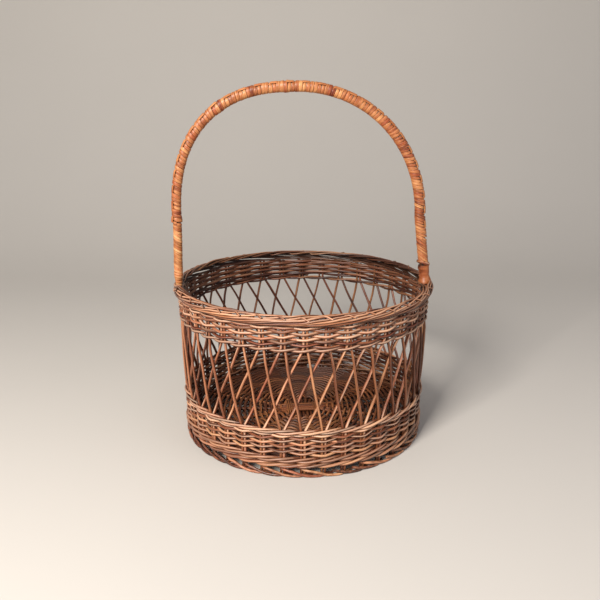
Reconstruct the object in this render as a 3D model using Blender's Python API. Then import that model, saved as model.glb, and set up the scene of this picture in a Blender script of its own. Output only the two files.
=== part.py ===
"""Round wicker basket with a band of crossed open stakes and a tall fixed bow handle.

Units are metres, +Z is up, the origin is the centre of the footprint on the ground.
-Y is the front of the basket and the bow handle spans from -X to +X.

The basket is built the way a basket maker builds it. A cross of base sticks is fanned
out and woven round. Pairs of stakes stand round its edge, are locked by a foot border
and a three-rod upsett, woven into the lower band, crossed over each other in the open
band, caught again by a twisted fitch, woven into the upper band, and bent down at the
top, where their own ends lie over each other as the rolled border. The handle is one
bent rod whose slim ends are pushed down between the stakes, lapped with flat skein.
"""

import math

import bmesh
import bpy

# Overall sizes
WALL_RADIUS = 0.1605
WALL_FLARE = 0.0059
OPENWORK_HEIGHT = 0.1015
BASE_STICKS = 9
ACROSS_STICKS = 4
FITTING_GAP = 0.0004

# Rods
STAKE_SIDES = 4
STAKE_RADIUS = 0.0018
STAKE_TIP_RADIUS = 0.00165
WEAVER_RADIUS = 0.0018
FITCH_RADIUS = 0.0016
UPSETT_RADIUS = 0.0021
FOOT_RADIUS = 0.0022
BASE_STICK_RADIUS = 0.0022
BASE_WEAVER_RADIUS = 0.0020

# Wall layout, in rows and in shares of the space between two stake pairs
LOWER_BAND_ROWS = 7
UPPER_BAND_ROWS = 4
LOWER_PAIR_GAP = 0.25
UPPER_PAIR_GAP = 0.34
UPPER_PAIR_SHIFT = 0.10
FRONT_CROWDING = 0.10
LAYER_CHANGE = 0.13

# Rolled border
BORDER_RING_RADIUS = 0.0059
BORDER_ROD_RADIUS = 0.0023
BORDER_OVERHANG = 0.0012
BORDER_REACH = 4
BORDER_START_ANGLE = math.radians(-65.0)
BORDER_TURN = math.radians(270.0)
BORDER_BEND_SPACING = 0.12
LEG_PARTING = 0.6

# Base
BASE_WEAVE_START_RADIUS = 0.040
BASE_WEAVE_PITCH = 0.0100
BASE_EDGE_CLEARANCE = 0.0012
STICK_BITE = 0.1
SLATH_TIE_ROUNDS = 2
TIE_RADIUS = 0.0012
FLOOR_CUT = 0.0004
HAIRPIN_FLOOR_GAP = 0.0022

# Handle
HANDLE_COLUMN = 9
HANDLE_RISE = 0.2515
HANDLE_LEG_HEIGHT = 0.087
HANDLE_APEX_X = -0.008
LEFT_LEAN = 0.0020
RIGHT_LEAN = 0.0113
LEFT_FOOT_OFFSET = 0.0010
RIGHT_FOOT_OFFSET = -0.0030
LEFT_FULLNESS = 2.4
RIGHT_FULLNESS = 2.05
HANDLE_RADIUS = 0.0048
HANDLE_LEFT_RADIUS = 0.0040
TONGUE_RADIUS = 0.0023
TONGUE_AT_RIM = 0.0032
ARCH_POINTS = 11

# Lapping on the handle
LAPPING_THICKNESS = 0.0016
LAPPING_RIB_DEPTH = 0.0005
LAPPING_RIBS = 28
LEFT_LAPPING_RIBS = 4
LEFT_LAPPING_HEIGHT = 0.077
RIGHT_SLEEVE_HEIGHT = 0.022
KNOT_HEIGHT = 0.006
KNOT_THICKNESS = 0.0026
SLEEVE_FLARE = 0.0026

# Worked out from the sizes above
BASE_ARMS = 2 * BASE_STICKS
COLUMNS = 2 * BASE_ARMS
COLUMN_STEP = 2.0 * math.pi / COLUMNS
TIGHT_SPACING = WALL_RADIUS * COLUMN_STEP * (1.0 - FRONT_CROWDING)
ROW_PITCH = 2.0 * WEAVER_RADIUS + FITTING_GAP
BACK_SEAM = COLUMNS // 2
END_CUT = 4.0 * FOOT_RADIUS
LAYER_OFFSET = STAKE_RADIUS + 0.5 * FITTING_GAP
STICK_PITCH = 2.0 * (1.0 - STICK_BITE) * BASE_STICK_RADIUS
TIE_PITCH = 2.0 * TIE_RADIUS + FITTING_GAP
CROSS_REACH = 0.5 * (BASE_STICKS - ACROSS_STICKS) * STICK_PITCH + (SLATH_TIE_ROUNDS + 0.5) * TIE_PITCH

STRAW = (0.70, 0.40, 0.20)
TAN = (0.62, 0.33, 0.15)
BROWN = (0.42, 0.21, 0.10)
DARK = (0.26, 0.13, 0.07)
HONEY = (0.68, 0.36, 0.15)


def collection(name):
    """A new collection linked to the scene."""
    made = bpy.data.collections.new(name)
    bpy.context.scene.collection.children.link(made)
    return made


def willow(name, colour, roughness):
    """A Principled material for peeled or buff rods."""
    material = bpy.data.materials.new(name)
    material.use_nodes = True
    shader = material.node_tree.nodes["Principled BSDF"]
    shader.inputs["Base Color"].default_value = (*colour, 1.0)
    shader.inputs["Roughness"].default_value = roughness
    shader.inputs["Metallic"].default_value = 0.0
    material.diffuse_color = (*colour, 1.0)
    return material


def angle_at(column):
    """Azimuth of a place counted in stake spacings from the front, towards +X.

    The maker set the stakes a little closer at the front than at the back.
    """
    even = column * COLUMN_STEP
    return even - FRONT_CROWDING * math.sin(even)


def wall_point(column, radius, height):
    """The point at a place round the wall, at a radius and a height."""
    angle = angle_at(column)
    return (radius * math.sin(angle), -radius * math.cos(angle), height)


def weave_amplitude(rod_radius, pair_gap):
    """How far a weaver swings in and out so that it clears the stakes of a pair."""
    need = STAKE_RADIUS + rod_radius + FITTING_GAP
    return need / math.sqrt((1.0 - pair_gap) ** 2 - (2.0 * need / TIGHT_SPACING) ** 2)


def wall_radius(height):
    """Radius of the wall at a height: it opens a little towards the rim."""
    return WALL_RADIUS + WALL_FLARE * height / UPPER_BAND_TOP


def weave_radius(pair_gap, height):
    """Middle radius of a weave, moved out by what its straight stretches cut off."""
    radius = wall_radius(height)
    sag = radius * (1.0 - math.cos(0.5 * COLUMN_STEP * (1.0 + FRONT_CROWDING)))
    return radius + 2.0 * sag * pair_gap * (1.0 - 0.5 * pair_gap)


# Heights, from the ground up
FOOT_SWING = 2.0 * FOOT_RADIUS + FITTING_GAP
UPSETT_SWING = 2.0 * UPSETT_RADIUS + FITTING_GAP
FOOT_Z = FOOT_SWING + FOOT_RADIUS - FLOOR_CUT
BASE_Z = FOOT_Z + 0.5 * FOOT_SWING + FOOT_RADIUS + FITTING_GAP + BASE_STICK_RADIUS
UPSETT_Z = BASE_Z + BASE_STICK_RADIUS + FITTING_GAP + 0.5 * UPSETT_SWING + UPSETT_RADIUS
LOWER_BAND_Z = UPSETT_Z + UPSETT_SWING + UPSETT_RADIUS + FITTING_GAP + WEAVER_RADIUS
FITCH_SWING = FITCH_RADIUS + 0.5 * FITTING_GAP
LOWER_BAND_TOP = LOWER_BAND_Z + LOWER_BAND_ROWS * ROW_PITCH + WEAVER_RADIUS
LOWER_FITCH_Z = LOWER_BAND_TOP + FITTING_GAP + FITCH_SWING + FITCH_RADIUS
OPENWORK_BOTTOM = LOWER_FITCH_Z + FITCH_SWING + FITCH_RADIUS
OPENWORK_TOP = OPENWORK_BOTTOM + OPENWORK_HEIGHT
UPPER_FITCH_Z = OPENWORK_TOP + FITCH_SWING + FITCH_RADIUS
UPPER_BAND_Z = UPPER_FITCH_Z + FITCH_SWING + FITCH_RADIUS + FITTING_GAP + WEAVER_RADIUS
UPPER_BAND_TOP = UPPER_BAND_Z + UPPER_BAND_ROWS * ROW_PITCH + WEAVER_RADIUS
BORDER_RADIUS = WALL_RADIUS + WALL_FLARE + BORDER_OVERHANG
BORDER_Z = UPPER_BAND_TOP + FITTING_GAP + BORDER_RING_RADIUS + BORDER_ROD_RADIUS
RIM_TOP = BORDER_Z + BORDER_RING_RADIUS + BORDER_ROD_RADIUS
HANDLE_FOOT_Z = RIM_TOP + FITTING_GAP
HANDLE_TOP_Z = HANDLE_FOOT_Z + HANDLE_RISE
HANDLE_SPRING_Z = HANDLE_FOOT_Z + HANDLE_LEG_HEIGHT


def rod_section(sides, target):
    """A closed outline of unit radius, for rods whose sides a round bevel can't give."""
    curve = bpy.data.curves.new("rod_section", "CURVE")
    curve.dimensions = "2D"
    curve.render_resolution_u = 0
    spline = curve.splines.new("POLY")
    spline.points.add(sides - 1)
    spline.use_cyclic_u = True
    for index, point in enumerate(spline.points):
        turn = -2.0 * math.pi * index / sides
        point.co = (math.cos(turn), math.sin(turn), 0.0, 1.0)
    section = as_cutter(bpy.data.objects.new("rod_section", curve))
    target.objects.link(section)
    return section


def rod_curve(name, points, radii, sides, material, target, z_up=False, section=None):
    """A rod as a bevelled poly curve with filled ends, one radius for each point."""
    curve = bpy.data.curves.new(name, "CURVE")
    curve.dimensions = "3D"
    curve.twist_mode = "Z_UP" if z_up else "MINIMUM"
    if section is None:
        curve.bevel_depth = 1.0
        curve.bevel_resolution = {4: 0, 6: 1, 8: 2}[sides]
    else:
        curve.bevel_mode = "OBJECT"
        curve.bevel_object = section
    curve.render_resolution_u = 0
    curve.use_fill_caps = True
    spline = curve.splines.new("POLY")
    spline.points.add(len(points) - 1)
    for spline_point, place, radius in zip(spline.points, points, radii):
        spline_point.co = (*place, 1.0)
        spline_point.radius = radius
    piece = bpy.data.objects.new(name, curve)
    curve.materials.append(material)
    target.objects.link(piece)
    return piece


def as_mesh(piece, target):
    """The curve piece turned into a welded mesh object of the same name."""
    name = piece.name
    bpy.context.view_layer.update()
    evaluated = piece.evaluated_get(bpy.context.evaluated_depsgraph_get())
    mesh = bpy.data.meshes.new_from_object(evaluated)
    curve = piece.data
    bpy.data.objects.remove(piece)
    bpy.data.curves.remove(curve)
    shape = bmesh.new()
    shape.from_mesh(mesh)
    bmesh.ops.remove_doubles(shape, verts=shape.verts, dist=0.00001)
    bmesh.ops.recalc_face_normals(shape, faces=shape.faces)
    shape.to_mesh(mesh)
    shape.free()
    mesh.name = name
    solid = bpy.data.objects.new(name, mesh)
    target.objects.link(solid)
    return solid


def boolean(piece, tool, operation):
    """Adds an exact Boolean between a piece and a tool."""
    modifier = piece.modifiers.new(operation.lower(), "BOOLEAN")
    modifier.operation = operation
    modifier.solver = "EXACT"
    modifier.object = tool


def as_cutter(piece):
    """Marks a tool so that it is only a guide."""
    piece.hide_render = True
    piece.display_type = "WIRE"
    return piece


def border_offset(share):
    """Where a border rod lies in the rolled ring after going a share of its reach.

    It comes out at the bottom, rises on the outside and goes in over the top.
    """
    turn = BORDER_START_ANGLE + BORDER_TURN * share
    return BORDER_RING_RADIUS * math.cos(turn), BORDER_RING_RADIUS * math.sin(turn)


def leg_distance(side, height):
    """Distance of a handle leg from the axis, where it slants out through the rim."""
    offset = LEFT_FOOT_OFFSET if side < 0 else RIGHT_FOOT_OFFSET
    share = (height - UPPER_BAND_TOP) / (HANDLE_FOOT_Z - UPPER_BAND_TOP)
    share = min(1.0, max(0.0, share))
    start = wall_radius(UPPER_BAND_TOP)
    return start + (BORDER_RADIUS + offset - start) * share


def side_of_leg(side, to_leg):
    """Outwards or inwards, as a border rod lies where it passes a handle leg."""
    across, up = border_offset(to_leg / BORDER_REACH)
    return math.copysign(1.0, BORDER_RADIUS + across - leg_distance(side, BORDER_Z + up))


def border_point(stake_column, spacings):
    """A point of a border rod and its radius there.

    Where a handle leg comes up through the rim, the rods part round it and lie tighter.
    """
    across, up = border_offset(spacings / BORDER_REACH)
    distance = BORDER_RADIUS + across
    height = BORDER_Z + up
    radius = BORDER_ROD_RADIUS if spacings > BORDER_BEND_SPACING else STAKE_TIP_RADIUS
    room = TONGUE_AT_RIM + STAKE_TIP_RADIUS + FITTING_GAP
    for side in (-1, 1):
        to_leg = (side * HANDLE_COLUMN + UPPER_PAIR_SHIFT - stake_column) % COLUMNS
        window = max(0.0, 1.0 - ((spacings - to_leg) / LEG_PARTING) ** 2)
        if window > 0.0:
            way = side_of_leg(side, to_leg)
            leg = leg_distance(side, height)
            parted = leg + way * math.hypot(distance - leg, room)
            distance += window * (parted - distance)
            radius += window * (STAKE_TIP_RADIUS - radius)
    return wall_point(stake_column + spacings, distance, height), radius


def stake_pair(column):
    """Points and radii of one pair: border end, stake, hairpin foot and bye-stake."""
    left_low = column - 0.5 * LOWER_PAIR_GAP
    right_low = column + 0.5 * LOWER_PAIR_GAP
    left_high = column - 1.0 + UPPER_PAIR_SHIFT + 0.5 * UPPER_PAIR_GAP
    right_high = column + 2.0 + UPPER_PAIR_SHIFT - 0.5 * UPPER_PAIR_GAP
    hairpin_z = HAIRPIN_FLOOR_GAP + STAKE_RADIUS
    lean_height = UPPER_FITCH_Z - OPENWORK_BOTTOM

    points = []
    radii = []
    stops = [float(step) for step in range(BORDER_REACH, 0, -1)]
    for leg in (-HANDLE_COLUMN + UPPER_PAIR_SHIFT, HANDLE_COLUMN + UPPER_PAIR_SHIFT):
        to_leg = (leg - left_high) % COLUMNS
        if to_leg < BORDER_REACH:
            stops.append(to_leg)
    stops.append(BORDER_BEND_SPACING)
    for spacings in sorted(stops, reverse=True):
        point, radius = border_point(left_high, spacings)
        points.append(point)
        radii.append(radius)
    top = UPPER_BAND_TOP + STAKE_RADIUS
    points.append(wall_point(left_high, wall_radius(top), top))
    radii.append(STAKE_TIP_RADIUS)

    for low, high, layer in ((left_low, left_high, 1.0), (right_low, right_high, -1.0)):
        leg_points = [(high, 0.0, UPPER_FITCH_Z)]
        for share in (1.0 - LAYER_CHANGE, LAYER_CHANGE):
            place = low + (high - low) * share
            height = OPENWORK_BOTTOM + lean_height * share
            leg_points.append((place, layer * LAYER_OFFSET, height))
        leg_points.append((low, 0.0, OPENWORK_BOTTOM))
        leg_points.append((low, 0.0, hairpin_z))
        if layer < 0.0:
            leg_points.reverse()
            leg_points.append((high, 0.0, UPPER_BAND_TOP))
        for place, out, height in leg_points:
            points.append(wall_point(place, wall_radius(height) + out, height))
            taper = (height - hairpin_z) / (UPPER_FITCH_Z - hairpin_z)
            radii.append(STAKE_RADIUS + (STAKE_TIP_RADIUS - STAKE_RADIUS) * min(taper, 1.0))
    return points, radii


def make_stake_pairs(target, tools):
    """All stake pairs round the wall."""
    material = willow("stake_rod", TAN, 0.5)
    section = rod_section(STAKE_SIDES, tools)
    for number in range(COLUMNS):
        points, radii = stake_pair(number)
        name = f"stake_pair_{number + 1:02d}"
        rod_curve(name, points, radii, STAKE_SIDES, material, target, section=section)


def make_randing(name, height_and_rows, pair_gap, shift, material, target):
    """Two weavers that chase each other, each before one pair and behind the next."""
    first_z, rows = height_and_rows
    swing = weave_amplitude(WEAVER_RADIUS, pair_gap)
    half_round = COLUMNS // 2
    for strand, letter in enumerate("ab"):
        start = -half_round * strand
        points = []
        for step in range(rows * half_round + 1):
            column = start + step
            side = 1.0 if (column + strand) % 2 == 0 else -1.0
            height = first_z + 2.0 * ROW_PITCH * step / COLUMNS
            radius = weave_radius(pair_gap, height) + side * swing
            points.append(wall_point(column + shift, radius, height))
        radii = [WEAVER_RADIUS] * len(points)
        rod_curve(f"{name}_{letter}", points, radii, 4, material, target, z_up=True)


def trim_end(points):
    """Cuts the last stretch of a full round short, so that its two ends don't meet."""
    before, last = points[-2], points[-1]
    share = 1.0 - END_CUT / math.dist(before, last)
    points[-1] = tuple(a + (b - a) * share for a, b in zip(before, last))


def make_fitch(name, height, pair_gap, shift, material, target):
    """Two rods twisted round every stake pair, half a turn from one pair to the next."""
    swing = weave_amplitude(FITCH_RADIUS, pair_gap)
    middle = weave_radius(pair_gap, height)
    for strand, letter in enumerate("ab"):
        points = []
        for step in range(2 * COLUMNS + 1):
            turn = 0.5 * math.pi * step + math.pi * strand
            column = BACK_SEAM + 0.5 * step + shift
            out = swing * math.cos(turn)
            up = FITCH_SWING * math.sin(turn)
            points.append(wall_point(column, middle + out, height + up))
        trim_end(points)
        radii = [FITCH_RADIUS] * len(points)
        rod_curve(f"{name}_{letter}", points, radii, 4, material, target, z_up=True)


def wale_points(height, radius, swing_z):
    """Routes of three rods, each before two stake pairs and behind the third.

    In front a rod rises by twice swing_z, or sinks where that is negative.
    """
    swing = weave_amplitude(radius, LOWER_PAIR_GAP)
    middle = weave_radius(LOWER_PAIR_GAP, height)
    pattern = ((swing, -swing_z), (swing, swing_z), (-swing, 0.0))
    routes = []
    for strand in range(3):
        route = []
        for step in range(COLUMNS + 1):
            out, up = pattern[(step + strand) % 3]
            route.append(wall_point(BACK_SEAM + step, middle + out, height + up))
        trim_end(route)
        routes.append(route)
    return routes


def make_upsett(target):
    """The three-rod wale that sets the stakes upright."""
    material = willow("upsett_rod", BROWN, 0.5)
    for letter, route in zip("abc", wale_points(UPSETT_Z, UPSETT_RADIUS, UPSETT_SWING)):
        radii = [UPSETT_RADIUS] * len(route)
        rod_curve(f"upsett_rod_{letter}", route, radii, 4, material, target, z_up=True)


def make_foot_border(target, tools):
    """The foot border rods, cut flat where they stand on the ground."""
    material = willow("foot_rod", BROWN, 0.55)
    depth = 4.0 * FOOT_RADIUS
    width = 4.0 * WALL_RADIUS
    block = bmesh.new()
    bmesh.ops.create_cube(block, size=1.0)
    bmesh.ops.scale(block, vec=(width, width, depth), verts=block.verts)
    mesh = bpy.data.meshes.new("floor_cutter")
    block.to_mesh(mesh)
    block.free()
    floor = as_cutter(bpy.data.objects.new("floor_cutter", mesh))
    floor.location = (0.0, 0.0, -0.5 * depth)
    tools.objects.link(floor)
    for letter, route in zip("abc", wale_points(FOOT_Z, FOOT_RADIUS, -FOOT_SWING)):
        radii = [FOOT_RADIUS] * len(route)
        name = f"foot_border_{letter}"
        curve = rod_curve(name, route, radii, 6, material, target, z_up=True)
        boolean(as_mesh(curve, target), floor, "DIFFERENCE")


def arm_angle(arm):
    """Azimuth of a base arm, which lies midway between two stake pairs."""
    return angle_at(2.0 * arm + 0.5)


def stick_bundle(name, count, first_arm, level, material, collections):
    """Base sticks that lie side by side at the cross and fan out to their arms."""
    target, tools = collections
    near = arm_angle(first_arm + 0.5 * (count - 1))
    far = arm_angle(first_arm + 0.5 * (count - 1) + BASE_STICKS)
    facing = 0.5 * (near + far - math.pi)
    half = 0.5 * (count - 1) * STICK_PITCH
    tip_radius = wall_radius(BASE_Z) + 0.5 * STAKE_RADIUS
    fan_radius = BASE_WEAVE_START_RADIUS - BASE_WEAVER_RADIUS - BASE_STICK_RADIUS
    sticks = []
    for index in range(count):
        side = index * STICK_PITCH - half
        far_arm = first_arm + BASE_STICKS + count - 1 - index
        ends = []
        for arm, way in ((first_arm + index, 1.0), (far_arm, -1.0)):
            angle = arm_angle(arm)
            outward = (math.sin(angle), -math.cos(angle))
            root = turned(side, way * CROSS_REACH, facing)
            tip = (outward[0] * tip_radius, outward[1] * tip_radius, BASE_Z)
            fan = (outward[0] * fan_radius, outward[1] * fan_radius, BASE_Z)
            ends.append([tip, fan, (*root, BASE_Z + level)])
        points = ends[0] + ends[1][::-1]
        radii = [BASE_STICK_RADIUS] * len(points)
        curve = rod_curve(f"{name}_{index + 1}", points, radii, 4, material, tools, z_up=True)
        sticks.append(as_mesh(curve, tools))
    whole = sticks[0]
    tools.objects.unlink(whole)
    target.objects.link(whole)
    whole.name = name
    for stick in sticks[1:]:
        boolean(whole, as_cutter(stick), "UNION")


def make_base(target, tools):
    """The cross of base sticks, its tie, and the two rods woven round its arms."""
    stick_material = willow("base_stick", DARK, 0.6)
    weave_material = willow("base_weaver", BROWN, 0.55)
    lengthways = BASE_STICKS - ACROSS_STICKS
    first_arm = -(lengthways // 2)
    level = BASE_STICK_RADIUS + 0.5 * FITTING_GAP
    collections = (target, tools)
    stick_bundle("base_sticks_lengthways", lengthways, first_arm, -level, stick_material, collections)
    across_arm = first_arm + lengthways
    stick_bundle("base_sticks_across", ACROSS_STICKS, across_arm, level, stick_material, collections)

    inside = weave_radius(LOWER_PAIR_GAP, FOOT_Z) - weave_amplitude(FOOT_RADIUS, LOWER_PAIR_GAP)
    edge = inside - FOOT_RADIUS - BASE_EDGE_CLEARANCE - BASE_WEAVER_RADIUS
    rounds = (edge - BASE_WEAVE_START_RADIUS) / (2.0 * BASE_WEAVE_PITCH)
    for strand, letter in enumerate("ab"):
        points = []
        start = -BASE_STICKS * strand
        for step in range(int(rounds * BASE_ARMS) + 1):
            arm = start + step
            radius = BASE_WEAVE_START_RADIUS + 2.0 * BASE_WEAVE_PITCH * step / BASE_ARMS
            side = 1.0 if (arm + strand) % 2 == 0 else -1.0
            angle = arm_angle(arm)
            place = (radius * math.sin(angle), -radius * math.cos(angle))
            points.append((*place, BASE_Z + side * swing_on_arm(radius)))
        radii = [BASE_WEAVER_RADIUS] * len(points)
        name = f"base_weaver_{letter}"
        rod_curve(name, points, radii, 4, weave_material, target, z_up=True)


def make_slath_tie(target):
    """The rod that binds the cross: over the across sticks, under the lengthways ones."""
    facing_near = arm_angle(0.0)
    facing = 0.5 * (facing_near + arm_angle(float(BASE_STICKS)) - math.pi)
    lengthways = BASE_STICKS - ACROSS_STICKS
    beside_length = 0.5 * (lengthways - 1) * STICK_PITCH + BASE_STICK_RADIUS
    beside_across = 0.5 * (ACROSS_STICKS - 1) * STICK_PITCH + BASE_STICK_RADIUS
    rise = 2.0 * BASE_STICK_RADIUS + 1.5 * FITTING_GAP + TIE_RADIUS
    points = []
    for step in range(4 * SLATH_TIE_ROUNDS + 1):
        out = TIE_RADIUS + FITTING_GAP + TIE_PITCH * (step / 4.0)
        along = (beside_across + out) * (1.0 if step % 4 in (1, 2) else -1.0)
        side = (beside_length + out) * (1.0 if step % 4 in (0, 1) else -1.0)
        level = rise if step % 2 == 0 else -rise
        place = turned(side, along, facing)
        if step > 0:
            points.append((*place, BASE_Z - level))
        points.append((*place, BASE_Z + level))
    radii = [TIE_RADIUS] * len(points)
    rod_curve("slath_tie", points, radii, 4, willow("tie_rod", TAN, 0.5), target)


def swing_on_arm(radius):
    """How far a base weaver rises and dips to clear the sticks at a radius."""
    need = BASE_STICK_RADIUS + BASE_WEAVER_RADIUS + FITTING_GAP
    spacing = radius * 2.0 * COLUMN_STEP * (1.0 - FRONT_CROWDING)
    return need / math.sqrt(1.0 - (2.0 * need / spacing) ** 2)


def turned(side, along, facing):
    """A plan point beside and along a direction given as an azimuth."""
    ahead = (math.sin(facing), -math.cos(facing))
    right = (math.cos(facing), math.sin(facing))
    return (along * ahead[0] + side * right[0], along * ahead[1] + side * right[1])


def bow_route():
    """Centre line and radii of the bent handle rod, from its left tip to its right."""
    feet = []
    for side, offset in ((-1, LEFT_FOOT_OFFSET), (1, RIGHT_FOOT_OFFSET)):
        column = side * HANDLE_COLUMN + UPPER_PAIR_SHIFT
        tip = wall_point(column, wall_radius(OPENWORK_TOP), OPENWORK_TOP)
        wall_top = wall_point(column, wall_radius(UPPER_BAND_TOP), UPPER_BAND_TOP)
        foot = wall_point(column, BORDER_RADIUS + offset, HANDLE_FOOT_Z)
        feet.append((tip, wall_top, foot))
    left_foot = feet[0][2]
    right_foot = feet[1][2]
    left_spring = left_foot[0] + LEFT_LEAN
    right_spring = right_foot[0] - RIGHT_LEAN
    rise = HANDLE_TOP_Z - HANDLE_SPRING_Z

    profile = [(left_foot[0], left_foot[2]), (left_spring, HANDLE_SPRING_Z)]
    for step in range(1, 2 * ARCH_POINTS):
        turn = 0.5 * math.pi * step / ARCH_POINTS
        on_left = step <= ARCH_POINTS
        power = 2.0 / (LEFT_FULLNESS if on_left else RIGHT_FULLNESS)
        reach = (HANDLE_APEX_X - left_spring) if on_left else (right_spring - HANDLE_APEX_X)
        x = HANDLE_APEX_X - math.copysign(abs(math.cos(turn)) ** power, math.cos(turn)) * reach
        profile.append((x, HANDLE_SPRING_Z + rise * math.sin(turn) ** power))
    profile.append((right_spring, HANDLE_SPRING_Z))
    profile.append((right_foot[0], right_foot[2]))

    slope = (right_foot[1] - left_foot[1]) / (right_foot[0] - left_foot[0])
    route = [feet[0][0], feet[0][1]]
    radii = [TONGUE_RADIUS, TONGUE_RADIUS]
    for x, z in profile:
        route.append((x, left_foot[1] + slope * (x - left_foot[0]), z))
        share = min(1.0, max(0.0, (x - left_spring) / (HANDLE_APEX_X - left_spring)))
        radii.append(HANDLE_LEFT_RADIUS + (HANDLE_RADIUS - HANDLE_LEFT_RADIUS) * share)
    radii[2] = TONGUE_AT_RIM
    radii[-1] = TONGUE_AT_RIM
    route.extend([feet[1][1], feet[1][0]])
    radii.extend([TONGUE_RADIUS, TONGUE_RADIUS])
    return route, radii


def stretch(route, radii, start, end, steps):
    """Evenly spaced points and radii along part of a route, between two lengths."""
    lengths = [0.0]
    for here, there in zip(route, route[1:]):
        lengths.append(lengths[-1] + math.dist(here, there))
    points = []
    sizes = []
    for step in range(steps + 1):
        wanted = start + (end - start) * step / steps
        index = max(i for i, length in enumerate(lengths[:-1]) if length <= wanted)
        share = (wanted - lengths[index]) / (lengths[index + 1] - lengths[index])
        here, there = route[index], route[index + 1]
        points.append(tuple(a + (b - a) * share for a, b in zip(here, there)))
        sizes.append(radii[index] + (radii[index + 1] - radii[index]) * share)
    return points, sizes


def sleeve(name, bow, start, end, walls, material, target, tools):
    """A wrapping round the bow, with its bore cut by a slightly fatter copy of it."""
    route, radii = bow
    points, sizes = stretch(route, radii, start, end, len(walls) - 1)
    outer = [size + FITTING_GAP + wall for size, wall in zip(sizes, walls)]
    curve = rod_curve(name, points, outer, 8, material, target)
    bore_radii = [radius + FITTING_GAP for radius in radii]
    bore = rod_curve(f"{name}_bore", route, bore_radii, 8, material, tools)
    boolean(as_mesh(curve, target), as_cutter(as_mesh(bore, tools)), "DIFFERENCE")


def ribbed(count):
    """Wall thicknesses of a lapped stretch: one round-backed rib for each turn."""
    walls = []
    for _ in range(count):
        walls.extend([LAPPING_THICKNESS - LAPPING_RIB_DEPTH, LAPPING_THICKNESS])
    walls.append(LAPPING_THICKNESS - LAPPING_RIB_DEPTH)
    return walls


def make_handle(target, tools):
    """The bow, its lapping, and the wrappings where its legs enter the rim."""
    bow = bow_route()
    route, radii = bow
    rod_curve("handle_bow", route, radii, 8, willow("bow_rod", BROWN, 0.5), target)
    skein = willow("lapping_skein", HONEY, 0.4)
    total = sum(math.dist(a, b) for a, b in zip(route, route[1:]))
    left_foot = math.dist(route[0], route[1]) + math.dist(route[1], route[2])
    right_foot = total - math.dist(route[-1], route[-2]) - math.dist(route[-2], route[-3])
    left_start = left_foot + FITTING_GAP
    left_end = left_start + LEFT_LAPPING_HEIGHT
    sleeve_start = right_foot - FITTING_GAP
    sleeve_end = sleeve_start - RIGHT_SLEEVE_HEIGHT
    knot_start = sleeve_end - FITTING_GAP
    knot_end = knot_start - KNOT_HEIGHT
    main_start = left_end + FITTING_GAP
    main_end = knot_end - FITTING_GAP
    main_walls = ribbed(LAPPING_RIBS)
    left_walls = ribbed(LEFT_LAPPING_RIBS)
    knot_walls = [LAPPING_THICKNESS, KNOT_THICKNESS, KNOT_THICKNESS, LAPPING_THICKNESS]
    sleeve_walls = [SLEEVE_FLARE, LAPPING_THICKNESS, LAPPING_THICKNESS]
    sleeve("handle_lapping", bow, main_start, main_end, main_walls, skein, target, tools)
    sleeve("left_leg_lapping", bow, left_start, left_end, left_walls, skein, target, tools)
    sleeve("right_leg_sleeve", bow, sleeve_start, sleeve_end, sleeve_walls, skein, target, tools)
    sleeve("right_leg_knot", bow, knot_start, knot_end, knot_walls, skein, target, tools)


def main():
    """Builds every part of the basket."""
    for old in list(bpy.data.objects):
        bpy.data.objects.remove(old, do_unlink=True)
    target = collection("wicker_basket")
    tools = collection("cutters")
    make_stake_pairs(target, tools)
    weaver = willow("weaver_rod", STRAW, 0.45)
    fitch = willow("fitch_rod", TAN, 0.45)
    lower_rows = (LOWER_BAND_Z, LOWER_BAND_ROWS)
    upper_rows = (UPPER_BAND_Z, UPPER_BAND_ROWS)
    make_randing("lower_weaver", lower_rows, LOWER_PAIR_GAP, 0.0, weaver, target)
    make_randing("upper_weaver", upper_rows, UPPER_PAIR_GAP, UPPER_PAIR_SHIFT, weaver, target)
    make_fitch("lower_fitch", LOWER_FITCH_Z, LOWER_PAIR_GAP, 0.0, fitch, target)
    make_fitch("upper_fitch", UPPER_FITCH_Z, UPPER_PAIR_GAP, UPPER_PAIR_SHIFT, fitch, target)
    make_upsett(target)
    make_foot_border(target, tools)
    make_base(target, tools)
    make_slath_tie(target)
    make_handle(target, tools)


main()
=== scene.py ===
"""Looks of a round willow basket: woven bands, crossed open stakes and a tall bow handle.

Units are metres, +Z is up and -Y is the front. Every rod of the basket is laid as its own
length of willow, with its own thickness, colour and cut ends, in the place that the frame
gives it. The bow is lapped with flat skein that is wound as a straight sleeve first and
then bent along the bow.
"""

import logging
import math
import random
from contextlib import contextmanager
from dataclasses import dataclass, field
from enum import Enum
from functools import partial, reduce
from typing import Callable, Iterable, Iterator, Sequence

import bpy
import numpy as np
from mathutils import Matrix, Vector, noise


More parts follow.
